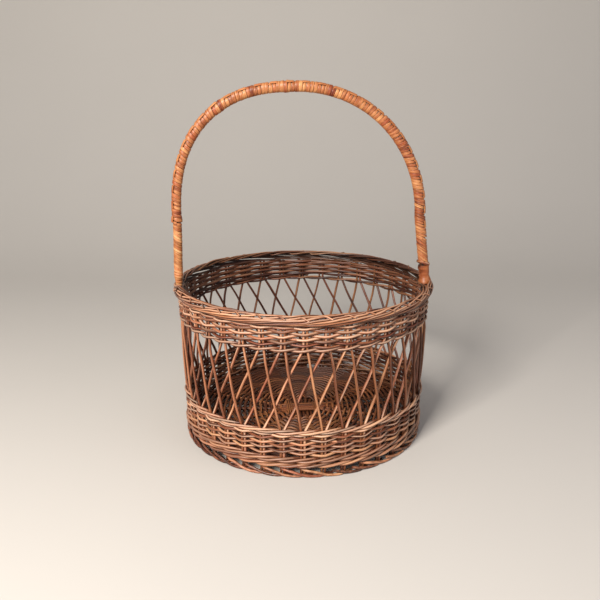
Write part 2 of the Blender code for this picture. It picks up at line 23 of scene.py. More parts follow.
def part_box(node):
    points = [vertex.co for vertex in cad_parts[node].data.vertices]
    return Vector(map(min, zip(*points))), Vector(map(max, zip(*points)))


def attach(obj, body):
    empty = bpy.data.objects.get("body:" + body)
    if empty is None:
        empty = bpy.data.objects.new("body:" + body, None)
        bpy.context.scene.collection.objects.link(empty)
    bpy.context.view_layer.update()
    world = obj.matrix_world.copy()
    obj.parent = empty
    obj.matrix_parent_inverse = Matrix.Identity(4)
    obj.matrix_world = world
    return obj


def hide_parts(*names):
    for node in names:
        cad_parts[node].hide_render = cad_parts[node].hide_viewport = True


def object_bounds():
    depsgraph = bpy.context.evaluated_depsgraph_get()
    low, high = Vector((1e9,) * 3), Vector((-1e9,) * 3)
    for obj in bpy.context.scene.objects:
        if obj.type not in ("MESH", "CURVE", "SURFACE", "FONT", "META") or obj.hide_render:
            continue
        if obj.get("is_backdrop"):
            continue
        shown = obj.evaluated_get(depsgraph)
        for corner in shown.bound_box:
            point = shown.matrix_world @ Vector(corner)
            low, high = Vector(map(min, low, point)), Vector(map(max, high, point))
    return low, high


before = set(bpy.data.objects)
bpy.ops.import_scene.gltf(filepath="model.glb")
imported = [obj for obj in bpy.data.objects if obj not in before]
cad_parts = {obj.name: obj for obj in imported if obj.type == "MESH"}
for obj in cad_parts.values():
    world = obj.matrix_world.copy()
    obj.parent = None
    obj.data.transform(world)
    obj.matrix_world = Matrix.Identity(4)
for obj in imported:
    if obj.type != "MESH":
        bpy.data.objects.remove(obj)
CAD_LOW, CAD_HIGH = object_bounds()
LOG = logging.getLogger("willow_basket")
Piece = bpy.types.Object
Socket = bpy.types.NodeSocket

ROD_MAP = "rod_map"
BARK = "bark"
FULL_TURN = 2.0 * math.pi
# How much further out the basket's widest place lies than the feet of the stakes
BORDER_DEPTH = 0.0155
# Distance of the stakes from the axis at the ground, and its growth with each metre of height
WALL_FOOT = max(CAD_HIGH.x, -CAD_LOW.x) - BORDER_DEPTH
WALL_FLARE = 0.0303
# Value of the bark's shade channel with neither painted shade nor painted highlight: lower values are painted
# shade and higher ones a painted highlight
UNSHADED = 0.6
# Height at which the border starts, above which nothing gets the painted shade of lying behind the stakes
RIM_START = 0.215
# Height up to which what lies between the feet of the stakes gets painted shade
FOOT_SHADE_TOP = 0.017
# Sides of the base's weavers, of most rods, of the rods at the foot and the twists, and of the bow
FINE_SIDES = 6
ROD_SIDES = 8
FOOT_SIDES = 10
BOW_SIDES = 12
# Points that are closer than this are merged, and edges that are sharper than this stay sharp
SAME_POINT = 0.000001
SHARP_EDGE = math.radians(50.0)
# Points round the outline of a strip of skein
STRIP_SIDES = 12
# More turns than any lapping has, each with a tone of its own
TURN_TONES = 4096
# Way round the bow of the leader, from the front towards the outer side
LEADER_ANGLE = math.radians(56.0)


class Layer(Enum):
    """The two layers in which the stakes cross in the open band."""

    OUTER = 1.0
    INNER = -1.0


class Leg(Enum):
    """The two legs of the bow handle, as the side of the basket they stand on."""

    LEFT = -1
    RIGHT = 1


def linear(code: str) -> tuple[float, float, float, float]:
    """A colour written as six hex digits, as linear light.

    Args:
        code: The colour, such as "C98555".

    Returns:
        Red, green, blue and an alpha of one.
    """
    shares = [int(code[start : start + 2], 16) / 255.0 for start in (0, 2, 4)]
    light = [s / 12.92 if s <= 0.04045 else ((s + 0.055) / 1.055) ** 2.4 for s in shares]
    return (light[0], light[1], light[2], 1.0)


def wobble(along: float, seed: float) -> float:
    """Slow, smooth unevenness of handwork, about -1 to 1.

    Args:
        along: Place along the rod, in the bumps' own lengths.
        seed: A number that is different for each rod.

    Returns:
        The unevenness at that place.
    """
    return 2.0 * noise.noise(Vector((along, seed, 0.37 * seed)))


def held_share(share: float) -> float:
    """A share held between 0 and 1."""
    return min(1.0, max(0.0, share))


def smooth_step(share: float) -> float:
    """An even share turned into one that starts and ends gently."""
    held = held_share(share)
    return held * held * (3.0 - 2.0 * held)


def eased(share: float, ends: float) -> float:
    """A share that starts and stops gently but runs straight between.

    Args:
        share: Even share, 0 to 1.
        ends: Share of the way that each rounded end takes.

    Returns:
        The eased share.
    """
    if share < ends:
        return share * share / (2.0 * ends * (1.0 - ends))
    if share > 1.0 - ends:
        rest = 1.0 - share
        return 1.0 - rest * rest / (2.0 * ends * (1.0 - ends))
    return (share - 0.5 * ends) / (1.0 - ends)


def round_spline(values: Sequence[float], place: float) -> float:
    """A smooth line through values that repeat for ever.

    Args:
        values: One value at each whole place.
        place: Where to read the line.

    Returns:
        The value there.
    """
    count = len(values)
    start = math.floor(place)
    share = place - start
    before, here, there, after = (values[(start + step) % count] for step in (-1, 0, 1, 2))
    bend = 2.0 * before - 5.0 * here + 4.0 * there - after
    twist = 3.0 * (here - there) + after - before
    return here + 0.5 * share * (there - before + share * (bend + share * twist))


def polar(distance: float, angle: float, height: float) -> Vector:
    """The point at a distance from the axis, at an azimuth from the front towards +X."""
    return Vector((distance * math.sin(angle), -distance * math.cos(angle), height))


# Mesh tools


def deselect() -> None:
    """Leaves object mode with nothing selected."""
    if bpy.context.mode != "OBJECT":
        bpy.ops.object.mode_set(mode="OBJECT")
    bpy.ops.object.select_all(action="DESELECT")


def pick(pieces: Iterable[Piece]) -> None:
    """Selects these pieces alone, the first of them active."""
    deselect()
    for number, piece in enumerate(pieces):
        piece.select_set(True)
        if number == 0:
            bpy.context.view_layer.objects.active = piece


@contextmanager
def edited(piece: Piece) -> Iterator[None]:
    """Holds a piece in edit mode with all of it selected."""
    pick([piece])
    bpy.ops.object.mode_set(mode="EDIT")
    bpy.ops.mesh.select_all(action="SELECT")
    yield
    bpy.ops.object.mode_set(mode="OBJECT")


def thicken(piece: Piece, thickness: float) -> None:
    """Gives a sheet its thickness, half of it to each side."""
    solid = piece.modifiers.new("thickness", "SOLIDIFY")
    solid.thickness = thickness
    solid.offset = 0.0
    pick([piece])
    bpy.ops.object.modifier_apply(modifier=solid.name)


def finish(piece: Piece, material: bpy.types.Material) -> None:
    """Merges a piece's doubled points, turns its faces out, smooths it and gives it its material."""
    with edited(piece):
        bpy.ops.mesh.remove_doubles(threshold=SAME_POINT)
        bpy.ops.mesh.normals_make_consistent(inside=False)
    bpy.ops.object.shade_smooth_by_angle(angle=SHARP_EDGE)
    deselect()
    piece.data.materials.clear()
    piece.data.materials.append(material)


def hand_in(piece: Piece, slot: str, *nodes: str) -> None:
    """Rides a finished piece on the basket and says which solids it stands for.

    Args:
        piece: The piece.
        slot: Not used.
        *nodes: The solids of the frame that it replaces.
    """
    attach(piece, "root")
    if nodes:
        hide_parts(*nodes)
    LOG.info("%s: %d faces for %s", piece.name, len(piece.data.polygons), ", ".join(nodes) or "no solid")


def read(
    elements: bpy.types.bpy_prop_collection, name: str, width: int, kind: type = np.float32
) -> np.ndarray:
    """Reads a property of every element of a mesh.

    Args:
        elements: The elements, such as the mesh's vertices.
        name: The property.
        width: How many numbers it has.
        kind: What kind of numbers they are.

    Returns:
        One row for each element.
    """
    values = np.empty(width * len(elements), kind)
    elements.foreach_get(name, values)
    return values.reshape(-1, width)


def bark_layers(mesh: bpy.types.Mesh) -> tuple[bpy.types.MeshUVLoopLayer, bpy.types.Attribute]:
    """The map along the rods and the bark attribute of a mesh, both made where they are missing.

    Args:
        mesh: The mesh that gets them.

    Returns:
        The map and the attribute, looked up after both exist.
    """
    if not mesh.uv_layers:
        mesh.uv_layers.new(name=ROD_MAP)
    mesh.uv_layers[0].name = ROD_MAP
    if BARK not in mesh.color_attributes:
        mesh.color_attributes.new(BARK, "FLOAT_COLOR", "CORNER")
    return mesh.uv_layers[ROD_MAP], mesh.color_attributes[BARK]


def paint(mesh: bpy.types.Mesh, bark_at: Callable[[Vector], tuple[float, float, float, float]]) -> None:
    """Writes the map and the bark attribute of a mesh by a rule.

    Args:
        mesh: The mesh.
        bark_at: For a point its share across the strip, its metres along it, its tone and warmth.
    """
    layer, attribute = bark_layers(mesh)
    for loop in mesh.loops:
        across, along, tone, warmth = bark_at(mesh.vertices[loop.vertex_index].co)
        layer.uv[loop.index].vector = (across, along)
        attribute.data[loop.index].color = (tone, UNSHADED, warmth, 0.0)


# Materials


class Graph:
    """The node tree of one material, with short calls for the nodes it needs."""

    def __init__(self, name: str) -> None:
        """Starts a material with its shader and output.

        Args:
            name: The material's name.
        """
        self.material = bpy.data.materials.new(name)
        self.material.use_nodes = True
        self.tree = self.material.node_tree
        self.shader = self.tree.nodes["Principled BSDF"]

    def node(self, kind: str, **settings: object) -> bpy.types.Node:
        """Adds a node and sets its properties.

        Args:
            kind: The node's type name.
            **settings: Properties to set on it.

        Returns:
            The new node.
        """
        made = self.tree.nodes.new(kind)
        for key, value in settings.items():
            setattr(made, key, value)
        return made

    def feed(self, socket: Socket, value: object) -> None:
        """Links a socket to another one, or sets it to a plain value."""
        if isinstance(value, Socket):
            self.tree.links.new(value, socket)
        else:
            socket.default_value = value

    def fed(self, kind: str, *values: object, **settings: object) -> bpy.types.Node:
        """Adds a node and feeds its first sockets in order."""
        made = self.node(kind, **settings)
        for socket, value in zip(made.inputs, values):
            self.feed(socket, value)
        return made

    def math(self, operation: str, first: object, second: object = 0.0) -> Socket:
        """An operation on one or two numbers."""
        return self.fed("ShaderNodeMath", first, second, operation=operation).outputs[0]

    def product(self, first: object, second: object) -> Socket:
        """Two numbers multiplied."""
        return self.math("MULTIPLY", first, second)

    def total(self, *terms: object) -> Socket:
        """The sum of some numbers."""
        return reduce(partial(self.math, "ADD"), terms)

    def ranged(self, value: object, low: float, high: float, to_low: float, to_high: float) -> Socket:
        """A number moved from one range to another and held inside it."""
        return self.fed("ShaderNodeMapRange", value, low, high, to_low, to_high).outputs[0]

    def point(self, across: object, beside: object, along: object) -> Socket:
        """A vector from three numbers."""
        return self.fed("ShaderNodeCombineXYZ", across, beside, along).outputs[0]

    def mix(self, share: object, first: object, second: object, blend: str = "MIX") -> Socket:
        """Two colours mixed by a share, or multiplied."""
        made = self.node("ShaderNodeMix", data_type="RGBA", blend_type=blend)
        for number, value in ((0, share), (6, first), (7, second)):
            self.feed(made.inputs[number], value)
        return made.outputs[2]

    def texture(self, kind: str, place: object, scale: float, detail: float | None = None) -> bpy.types.Node:
        """A texture at a place.

        Args:
            kind: The node's type name.
            place: Where it is read.
            scale: How many features it has in a metre.
            detail: How many finer layers it has, where it has any.

        Returns:
            The texture node.
        """
        made = self.node(kind)
        self.feed(made.inputs["Vector"], place)
        self.feed(made.inputs["Scale"], scale)
        if detail is not None:
            self.feed(made.inputs["Detail"], detail)
        return made

    def noise(self, place: object, scale: float, detail: float) -> Socket:
        """Cloudy noise at a place, 0 to 1."""
        return self.texture("ShaderNodeTexNoise", place, scale, detail).outputs["Fac"]


@dataclass(frozen=True)
class WillowFinish:
    """Buff willow: streaks along the rod, slow drifts of colour, bud scars, pale cut ends.

    Attributes:
        name: The material's name.
        dark: Colour of the darkest bark.
        middle: Colour of most of the rod.
        light: Colour of the palest streaks.
        rosy: What the pinkish stretches are tinted with.
        roughness: Roughness of the bark.
        streaks: How strongly the streaks show.
        relief: Depth of the grain, in metres.
        shadow_colour: Colour of the painted shade on undersides, in creases and where rods cross.
        painted_highlight: Colour of the painted highlight on the outer upper sides of the bark.
        pith: Colour of a cut end.
    """

    name: str
    dark: str
    middle: str
    light: str
    rosy: str
    roughness: float = 0.40
    streaks: float = 0.55
    relief: float = 0.00025
    # Colours of the painted shade and of the painted highlight
    shadow_colour: str = "220C04"
    painted_highlight: str = "F2CFB0"
    pith: str = "E9CFA4"

    def material(self) -> bpy.types.Material:
        """Builds the procedural material.

        Returns:
            The finished material.
        """
        graph = Graph(self.name)
        bark = graph.node("ShaderNodeAttribute", attribute_name=BARK)
        tone, shade, warmth = graph.fed("ShaderNodeSeparateColor", bark.outputs["Color"]).outputs
        cut = bark.outputs["Alpha"]
        uv = graph.node("ShaderNodeUVMap", uv_map=ROD_MAP)
        split = graph.fed("ShaderNodeSeparateXYZ", uv.outputs[0])
        turn = graph.product(split.outputs[0], FULL_TURN)
        along = split.outputs[1]
        across = graph.math("COSINE", turn)
        beside = graph.math("SINE", turn)

        streak = graph.noise(graph.point(across, beside, graph.product(along, 45.0)), 1.7, 3.0)
        fine = graph.noise(graph.point(across, beside, graph.product(along, 30.0)), 6.0, 2.0)
        drift = graph.noise(graph.point(graph.product(along, 11.0), tone, warmth), 1.0, 1.0)
        blush = graph.noise(graph.point(tone, graph.product(along, 17.0), warmth), 1.0, 1.0)
        bud_across = graph.product(across, 0.45)
        bud_beside = graph.product(beside, 0.45)
        buds = graph.point(bud_across, bud_beside, graph.product(along, 24.0))
        bud = graph.texture("ShaderNodeTexVoronoi", buds, 1.0).outputs["Distance"]
        scar = graph.ranged(bud, 0.05, 0.13, 1.0, 0.0)

        level = graph.total(
            graph.product(tone, 0.8),
            -0.12,
            graph.ranged(streak, 0.3, 0.7, -0.5, 0.5 * self.streaks),
            graph.ranged(drift, 0.3, 0.7, 0.05, 0.45),
            graph.ranged(fine, 0.3, 0.7, -0.08, 0.12),
        )
        ramp = graph.fed("ShaderNodeValToRGB", level)
        stops = ramp.color_ramp.elements
        stops[0].color = linear(self.dark)
        stops[1].color = linear(self.light)
        middle = stops.new(0.42)
        middle.color = linear(self.middle)

        pink = graph.math("SUBTRACT", graph.ranged(blush, 0.35, 0.65, 0.15, 0.95), warmth)
        pink = graph.ranged(pink, -0.25, 0.55, 0.0, 0.75)
        colour = graph.mix(1.0, ramp.outputs[0], linear(self.rosy), "MULTIPLY")
        colour = graph.mix(pink, ramp.outputs[0], colour)
        colour = graph.mix(graph.product(scar, 0.75), colour, linear(self.dark))
        # Painted shade: where the bark attribute's shade channel is low, the colour goes towards the dark
        # shade colour
        colour = graph.mix(graph.ranged(shade, 0.0, UNSHADED, 0.95, 0.0), colour, linear(self.shadow_colour))
        # Painted highlight: where the shade channel is high, the colour goes towards the pale highlight
        # colour
        colour = graph.mix(graph.ranged(shade, UNSHADED + 0.02, 1.0, 0.0, 0.6), colour, linear(self.painted_highlight))
        graph.feed(graph.shader.inputs["Base Color"], graph.mix(cut, colour, linear(self.pith)))

        uneven = graph.ranged(fine, 0.3, 0.7, -0.08, 0.1)
        rough = graph.total(uneven, self.roughness, graph.product(cut, 0.3))
        graph.feed(graph.shader.inputs["Roughness"], rough)
        bump = graph.node("ShaderNodeBump")
        bump.inputs["Strength"].default_value = 0.6
        bump.inputs["Distance"].default_value = self.relief
        height = graph.total(graph.product(streak, 0.5), graph.product(fine, 0.5), graph.product(scar, -0.6))
        graph.feed(bump.inputs["Height"], height)
        graph.feed(graph.shader.inputs["Normal"], bump.outputs[0])
        return graph.material


@dataclass(frozen=True)
class StageFinish:
    """The plain pale ground: matt, with the faintest mottling."""

    name: str = "pale_ground"
    colour: str = "CFCBC4"

    def material(self) -> bpy.types.Material:
        """Builds the floor's material."""
        graph = Graph(self.name)
        place = graph.node("ShaderNodeTexCoord").outputs["Object"]
        pale = linear(self.colour)
        darker = tuple(0.96 * value for value in pale[:3]) + (1.0,)
        graph.feed(graph.shader.inputs["Base Color"], graph.mix(graph.noise(place, 3.0, 3.0), darker, pale))
        graph.shader.inputs["Roughness"].default_value = 0.9
        return graph.material


STAKE_FINISH = WillowFinish("stake_willow", "431F0D", "985C38", "D29C6C", "DCA8B4")
WEAVER_FINISH = WillowFinish("weaver_willow", "3C1B0B", "965A37", "D8A67A", "DCA6AA")
FOOT_FINISH = WillowFinish("foot_willow", "361809", "865032", "C8946A", "D8A2A6")
BASE_FINISH = WillowFinish("base_willow", "35180A", "8A4E26", "B87A48", "E0B098", 0.55)
SKEIN_FINISH = WillowFinish("lapping_skein", "682C12", "A66338", "CE945E", "DCA292", 0.44, 0.5)
PALE_SKEIN_FINISH = WillowFinish("pale_skein", "84481F", "BA7E4A", "E0B27E", "E6A890", 0.44, 0.5)
COLLAR_FINISH = WillowFinish("collar_bark", "46200C", "8E4E26", "B87442", "D89A88", 0.42)
BOW_FINISH = WillowFinish("bow_bark", "33180A", "6F3E20", "96602F", "E0A690", 0.55)


@dataclass(frozen=True)
class PaintedShading:
    """Painted shade and painted highlights on the bark of a piece.

    Attributes:
        under: How strongly the undersides get painted shade.
        inside: How strongly the sides that face the axis get painted shade, and again what lies behind the
            stakes.
        painted_highlight: How strongly the outer upper sides get a painted highlight.
        roll: Distance and height of the middle of a roll whose creases get painted shade, if there is one.
        roll_reach: How far from its middle the roll reaches.
    """

    under: float = 0.9
    inside: float = 0.40
    painted_highlight: float = 0.34
    roll: tuple[float, float] | None = None
    roll_reach: float = 0.0095

    def paint_shading(self, piece: Piece) -> None:
        """Writes painted shade on the undersides and on the basket's inner side, and painted highlights on
        the outer crests, into the bark attribute.

        Args:
            piece: The welded piece.
        """
        mesh = piece.data
        attribute = mesh.color_attributes[BARK].data
        colours = read(attribute, "color", 4)
        normals = read(mesh.corner_normals, "vector", 3)
        radial = read(mesh.vertices, "co", 3)[read(mesh.loops, "vertex_index", 1, np.int32).ravel()]
        heights = radial[:, 2].copy()
        radial[:, 2] = 0.0
        distances = np.maximum(np.linalg.norm(radial, axis=1), 1e-6)
        up = normals[:, 2]
        out = (normals * radial).sum(axis=1) / distances
        # Painted shade for what lies behind the stakes, below the border
        behind = np.clip((WALL_FOOT + WALL_FLARE * heights + 0.0006 - distances) / 0.0025, 0.0, 1.0)
        behind[heights > RIM_START] = 0.0
        # Share of the colour left after painted shade on undersides, on sides facing the axis and behind the
        # stakes
        unshaded_share = 1.0 - self.under * np.clip(0.15 - up, 0.0, 1.0)
        unshaded_share *= 1.0 - self.inside * np.clip(0.2 - out, 0.0, 1.0)
        unshaded_share *= 1.0 - self.inside * behind
        # Painted shade on what lies low between the feet of the stakes
        low = np.clip((FOOT_SHADE_TOP - heights) / 0.004, 0.0, 1.0)
        foot_depth = WALL_FOOT + WALL_FLARE * heights + 0.0026 - distances
        unshaded_share *= 1.0 - 0.85 * low * np.clip(foot_depth / 0.0008, 0.0, 1.0)
        # Painted highlight on the outer upper sides, weaker near the ground
        facing = np.clip((0.55 * up + 0.83 * out - 0.35) / 0.5, 0.0, 1.0)
        highlight_gain = self.painted_highlight * facing * (1.0 - behind) * np.clip(0.15 + 16.0 * heights, 0.0, 1.0)
        # Painted shade in the creases of the roll, and its painted highlight kept to the outermost tops
        if self.roll is not None:
            beside = distances - self.roll[0]
            above = heights - self.roll[1]
            from_middle = np.maximum(np.hypot(beside, above), 1e-6)
            in_roll = (from_middle < self.roll_reach) & (above > -0.8 * self.roll_reach)
            facing_out = (out * beside + up * above) / from_middle
            crease = np.clip((facing_out - 0.2) / 0.65, 0.03, 1.0)
            unshaded_share[in_roll] *= crease[in_roll]
            highlight_gain[in_roll] *= 1.1 * crease[in_roll] ** 4
        bark = colours[:, 3] < 0.5
        colours[bark, 1] = np.clip(colours[bark, 1] * unshaded_share[bark] + highlight_gain[bark], 0.0, 1.0)
        attribute.foreach_set("color", colours.ravel())


@dataclass(frozen=True)
class Look:
    """The material of a piece and its painted shade and highlights."""

    material: bpy.types.Material
    painted_shading: PaintedShading = PaintedShading()


# Rods


@dataclass
class Rod:
    """One length of willow as it lies in the work.

    Attributes:
        points: Its centre line.
        radii: Its radius at each point.
        tone: Lightness of the bark, 0 to 1.
        warmth: 0 for pinkish bark, 1 for orange bark, at even steps along the rod.
        shade: Painted shade at even steps along the rod, from 0 for the darkest to UNSHADED, higher for a
            painted highlight.
        slants: How steeply the first and the last end are cut, as rise over run.
    """

    points: list[Vector] = field(default_factory=list)
    radii: list[float] = field(default_factory=list)
    tone: float = 0.5
    warmth: Sequence[float] = (0.5,)
    shade: Sequence[float] = (UNSHADED,)
    slants: tuple[float, float] = (0.0, 0.0)

    def add(self, point: Vector, radius: float) -> None:
        """Leads the rod on to a point."""
        self.points.append(point)
        self.radii.append(radius)

    def length(self) -> float:
        """Length of the centre line."""
        return sum((b - a).length for a, b in zip(self.points, self.points[1:]))

    def curve(self, name: str, sides: int) -> Piece:
        """The rod as a bevelled curve object with filled ends.

        Args:
            name: The object's name.
            sides: How many sides the rod has, an even number.

        Returns:
            The curve object, linked to the scene.
        """
        data = bpy.data.curves.new(name, "CURVE")
        data.dimensions = "3D"
        data.bevel_depth = 1.0
        data.bevel_resolution = sides // 2 - 2
        data.use_fill_caps = True
        spline = data.splines.new("POLY")
        spline.points.add(len(self.points) - 1)
        for place, centre, radius in zip(spline.points, self.points, self.radii):
            place.co = (*centre, 1.0)
            place.radius = radius
        piece = bpy.data.objects.new(name, data)
        bpy.context.scene.collection.objects.link(piece)
        return piece

    def cut_ends(self, mesh: bpy.types.Mesh) -> None:
        """Slants the two ends of the rod's mesh, as a knife cuts them."""
        places = read(mesh.vertices, "co", 3)
        for end, inner, slant in ((0, 1, self.slants[0]), (-1, -2, self.slants[1])):
            if slant == 0.0:
                continue
            forward = (self.points[end] - self.points[inner]).normalized()
            upward = Vector((0.0, 0.0, 1.0)) - forward * forward.z
            offsets = places - np.array(self.points[end], np.float32)
            near = np.linalg.norm(offsets, axis=1) < 1.3 * self.radii[end]
            near &= np.abs(offsets @ np.array(forward)) < 0.1 * self.radii[end]
            rise = offsets @ np.array(upward.normalized())
            places[near] += np.outer(slant * rise[near], np.array(forward)).astype(np.float32)
        mesh.vertices.foreach_set("co", places.ravel())

    def dress(self, mesh: bpy.types.Mesh, start: float) -> None:
        """Writes the rod's map in metres and its bark attribute.

        Args:
            mesh: The rod's own mesh, as the curve was converted.
            start: Where the pattern of this rod starts.
        """
        layer, attribute = bark_layers(mesh)
        places = read(layer.uv, "vector", 2)
        along = places[:, 1].copy()
        places[:, 1] = start + along * self.length()
        layer.uv.foreach_set("vector", places.ravel())

        colours = np.zeros((len(mesh.loops), 4), np.float32)
        colours[:, 0] = self.tone
        for channel, values in ((1, self.shade), (2, self.warmth)):
            colours[:, channel] = np.interp(along, np.linspace(0.0, 1.0, len(values)), values)
        for face in mesh.polygons:
            if face.loop_total > 4:
                colours[face.loop_start : face.loop_start + face.loop_total, 1] = UNSHADED
                colours[face.loop_start : face.loop_start + face.loop_total, 3] = 1.0
        attribute.data.foreach_set("color", colours.ravel())


def lay(name: str, rods: Sequence[Rod], sides: int, look: Look, slot: str, *nodes: str) -> None:
    """Lays rods as one piece of the basket and hands it in.

    Args:
        name: The piece's name.
        rods: The rods in it.
        sides: Sides of each rod.
        look: Its material and its painted shade and highlights.
        slot: The record's material slot.
        *nodes: The solids of the frame that it replaces.
    """
    curves = [rod.curve(f"{name}_{number}", sides) for number, rod in enumerate(rods)]
    pick(curves)
    bpy.ops.object.convert(target="MESH")
    for number, (rod, piece) in enumerate(zip(rods, curves)):
        rod.cut_ends(piece.data)
        rod.dress(piece.data, 0.731 * number + 3.0 * rod.tone)
    if len(curves) > 1:
        bpy.ops.object.join()
    whole = curves[0]
    whole.name = name
    whole.data.name = name
    finish(whole, look.material)
    # Painted shade and highlights written into the bark attribute
    look.painted_shading.paint_shading(whole)
    hand_in(whole, slot, *nodes)


# Where everything is


@dataclass(frozen=True)
class Levels:
    """Heights of the basket's layers, read from the frame."""

    foot_top: float
    wale_middle: float
    lower_bottom: float
    lower_top: float
    lower_twist: float
    open_bottom: float
    open_top: float
    upper_twist: float
    upper_bottom: float
    upper_top: float
    rim_top: float

    @classmethod
    def from_frame(cls) -> "Levels":
        """Reads the levels from the solids' boxes and moves them to where the thin rods lie."""
        lower_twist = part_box("lower_fitch_a")[0].z
        upper_low, upper_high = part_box("upper_fitch_a")
        foot_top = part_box("foot_border_a")[1].z
        return cls(
            foot_top=foot_top,
            wale_middle=foot_top + 0.0024,
            lower_bottom=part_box("upsett_rod_a")[1].z - 0.0003,
            lower_top=lower_twist - 0.0020,
            lower_twist=lower_twist + 0.0011,
            open_bottom=lower_twist - 0.0006,
            open_top=upper_low.z + 0.0034,
            upper_twist=upper_low.z + 0.0004,
            upper_bottom=upper_high.z - 0.0047,
            upper_top=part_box("upper_weaver_a")[1].z + 0.0029,
            rim_top=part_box("stake_pair_01")[1].z + 0.0004,
        )


@dataclass(frozen=True)
class WallPlan:
    """The ring of stakes, seen from above.

    Attributes:
        radius: Distance of the stakes from the axis at the ground.
        flare: How much that distance grows with each metre of height.
        columns: Stake pairs round the wall.
        crowding: How much closer the front stakes are set than the back ones.
        lower_gap: Share of a spacing between the two rods of a pair in the lower band.
        upper_gap: The same in the upper band.
        upper_shift: How far the upper pairs stand to the right, in spacings.
    """

    radius: float = WALL_FOOT
    flare: float = WALL_FLARE
    columns: int = 36
    crowding: float = 0.10
    lower_gap: float = 0.155
    upper_gap: float = 0.17
    upper_shift: float = 0.10

    def angle(self, column: float) -> float:
        """Azimuth of a place counted in spacings from the front, towards +X."""
        even = column * FULL_TURN / self.columns
        return even - self.crowding * math.sin(even)

    def wall(self, height: float) -> float:
        """Distance of the stakes from the axis at a height."""
        return self.radius + self.flare * height

    def at(self, column: float, distance: float, height: float) -> Vector:
        """The point at a place round the wall.

        Args:
            column: Place in stake spacings from the front.
            distance: Distance from the axis.
            height: Height above the ground.

        Returns:
            The point.
        """
        return polar(distance, self.angle(column), height)


@dataclass(frozen=True)
class Ring:
    """The stake pairs as a weaver meets them at one part of the wall.

    Attributes:
        plan: The ring of stakes.
        pair_gap: Gap inside a pair, as a share of a spacing.
        shift: How far the pairs stand to the right, in spacings.
        stake_radius: Radius of the stakes there.
    """

    plan: WallPlan
    pair_gap: float
    shift: float
    stake_radius: float

    def at(self, place: float, out: float, height: float) -> Vector:
        """The point at a place in spacings, this far outside the middle of the wall."""
        return self.plan.at(place + self.shift, self.plan.wall(height) + out, height)

    def warmth(self, place: float) -> float:
        """Warmth of the bark, which is pinkish on the left and orange on the right."""
        return 0.5 + 0.32 * math.sin(self.plan.angle(place))


@dataclass
class BowLine:
    """The centre line of the bow handle, from its left foot to its right foot.

    Attributes:
        plan: The ring of stakes.
        levels: The basket's heights.
        handle_column: Spacings from the front to each foot.
        apex_x: Where the arch is highest.
        leg_height: Height of the straight legs above the rim.
        rise: Height of the arch above the rim.
        leans: How far each leg leans inwards.
        feet_out: How far each foot stands outside the middle of the rim.
        fullness: How square each shoulder of the arch is, 2 for an ellipse.
        foot_room: How far the border rods keep from the middle of a foot.
        leg_steps: Points on each leg.
        samples: Points on the arch.
    """

    plan: WallPlan
    levels: Levels
    handle_column: int = 9
    apex_x: float = -0.008
    leg_height: float = 0.087
    rise: float = 0.2515
    leans: tuple[float, float] = (0.0020, 0.0113)
    feet_out: tuple[float, float] = (0.0010, -0.0030)
    fullness: tuple[float, float] = (2.4, 2.05)
    foot_room: float = 0.0056
    leg_steps: int = 12
    samples: int = 160

    def __post_init__(self) -> None:
        """Works out the line, and the length along it at each of its points."""
        self.rim_radius = self.plan.wall(self.levels.upper_top) + 0.0012
        foot_z = self.levels.rim_top + 0.0004
        self.feet = {
            leg: self.plan.at(self.column(leg), self.rim_radius + out, foot_z)
            for leg, out in zip(Leg, self.feet_out)
        }
        left, right = self.feet[Leg.LEFT], self.feet[Leg.RIGHT]
        spring_z = foot_z + self.leg_height
        arch = self.rise - self.leg_height
        left_spring = left.x + self.leans[0]
        right_spring = right.x - self.leans[1]
        profile = []
        for step in range(self.leg_steps):
            share = step / self.leg_steps
            profile.append((left.x + self.leans[0] * smooth_step(share), foot_z + self.leg_height * share))
        for step in range(self.samples + 1):
            turn = math.pi * step / self.samples
            on_left = turn <= 0.5 * math.pi
            power = 2.0 / self.fullness[0 if on_left else 1]
            reach = (self.apex_x - left_spring) if on_left else (right_spring - self.apex_x)
            side = math.copysign(abs(math.cos(turn)) ** power, math.cos(turn))
            profile.append((self.apex_x - side * reach, spring_z + arch * math.sin(turn) ** power))
        for step in range(1, self.leg_steps + 1):
            share = step / self.leg_steps
            profile.append((right_spring + self.leans[1] * share, spring_z - self.leg_height * share))
        slope = (right.y - left.y) / (right.x - left.x)
        self.points = [Vector((x, left.y + slope * (x - left.x), z)) for x, z in profile]
        self.lengths = [0.0]
        for here, there in zip(self.points, self.points[1:]):
            self.lengths.append(self.lengths[-1] + (there - here).length)
        self.length = self.lengths[-1]
        self.front = Vector((slope, -1.0, 0.0)).normalized()
        self.axes = list(zip(*self.points))

    def column(self, leg: Leg) -> float:
        """Place of a foot round the wall, in spacings from the front."""
        return leg.value * self.handle_column + self.plan.upper_shift

    def centre(self, along: float) -> Vector:
        """The point of the line at a length from the left foot, straight on beyond its ends."""
        if along < 0.0:
            return self.points[0] + (self.points[1] - self.points[0]).normalized() * along
        if along > self.length:
            way = (self.points[-1] - self.points[-2]).normalized()
            return self.points[-1] + way * (along - self.length)
        return Vector(np.interp(along, self.lengths, axis) for axis in self.axes)

    def place(self, along: float, angle: float, distance: float) -> Vector:
        """A point beside the line.

        Args:
            along: Length from the left foot.
            angle: Way round the bow, 0 at the front and a quarter turn at its outer side.
            distance: Distance from the centre line.

        Returns:
            The point.
        """
        reach = 0.004
        way = (self.centre(along + reach) - self.centre(along - reach)).normalized()
        outward = self.front.cross(way).normalized()
        forward_part = self.front * (distance * math.cos(angle))
        return self.centre(along) + forward_part + outward * (distance * math.sin(angle))


# The willow work


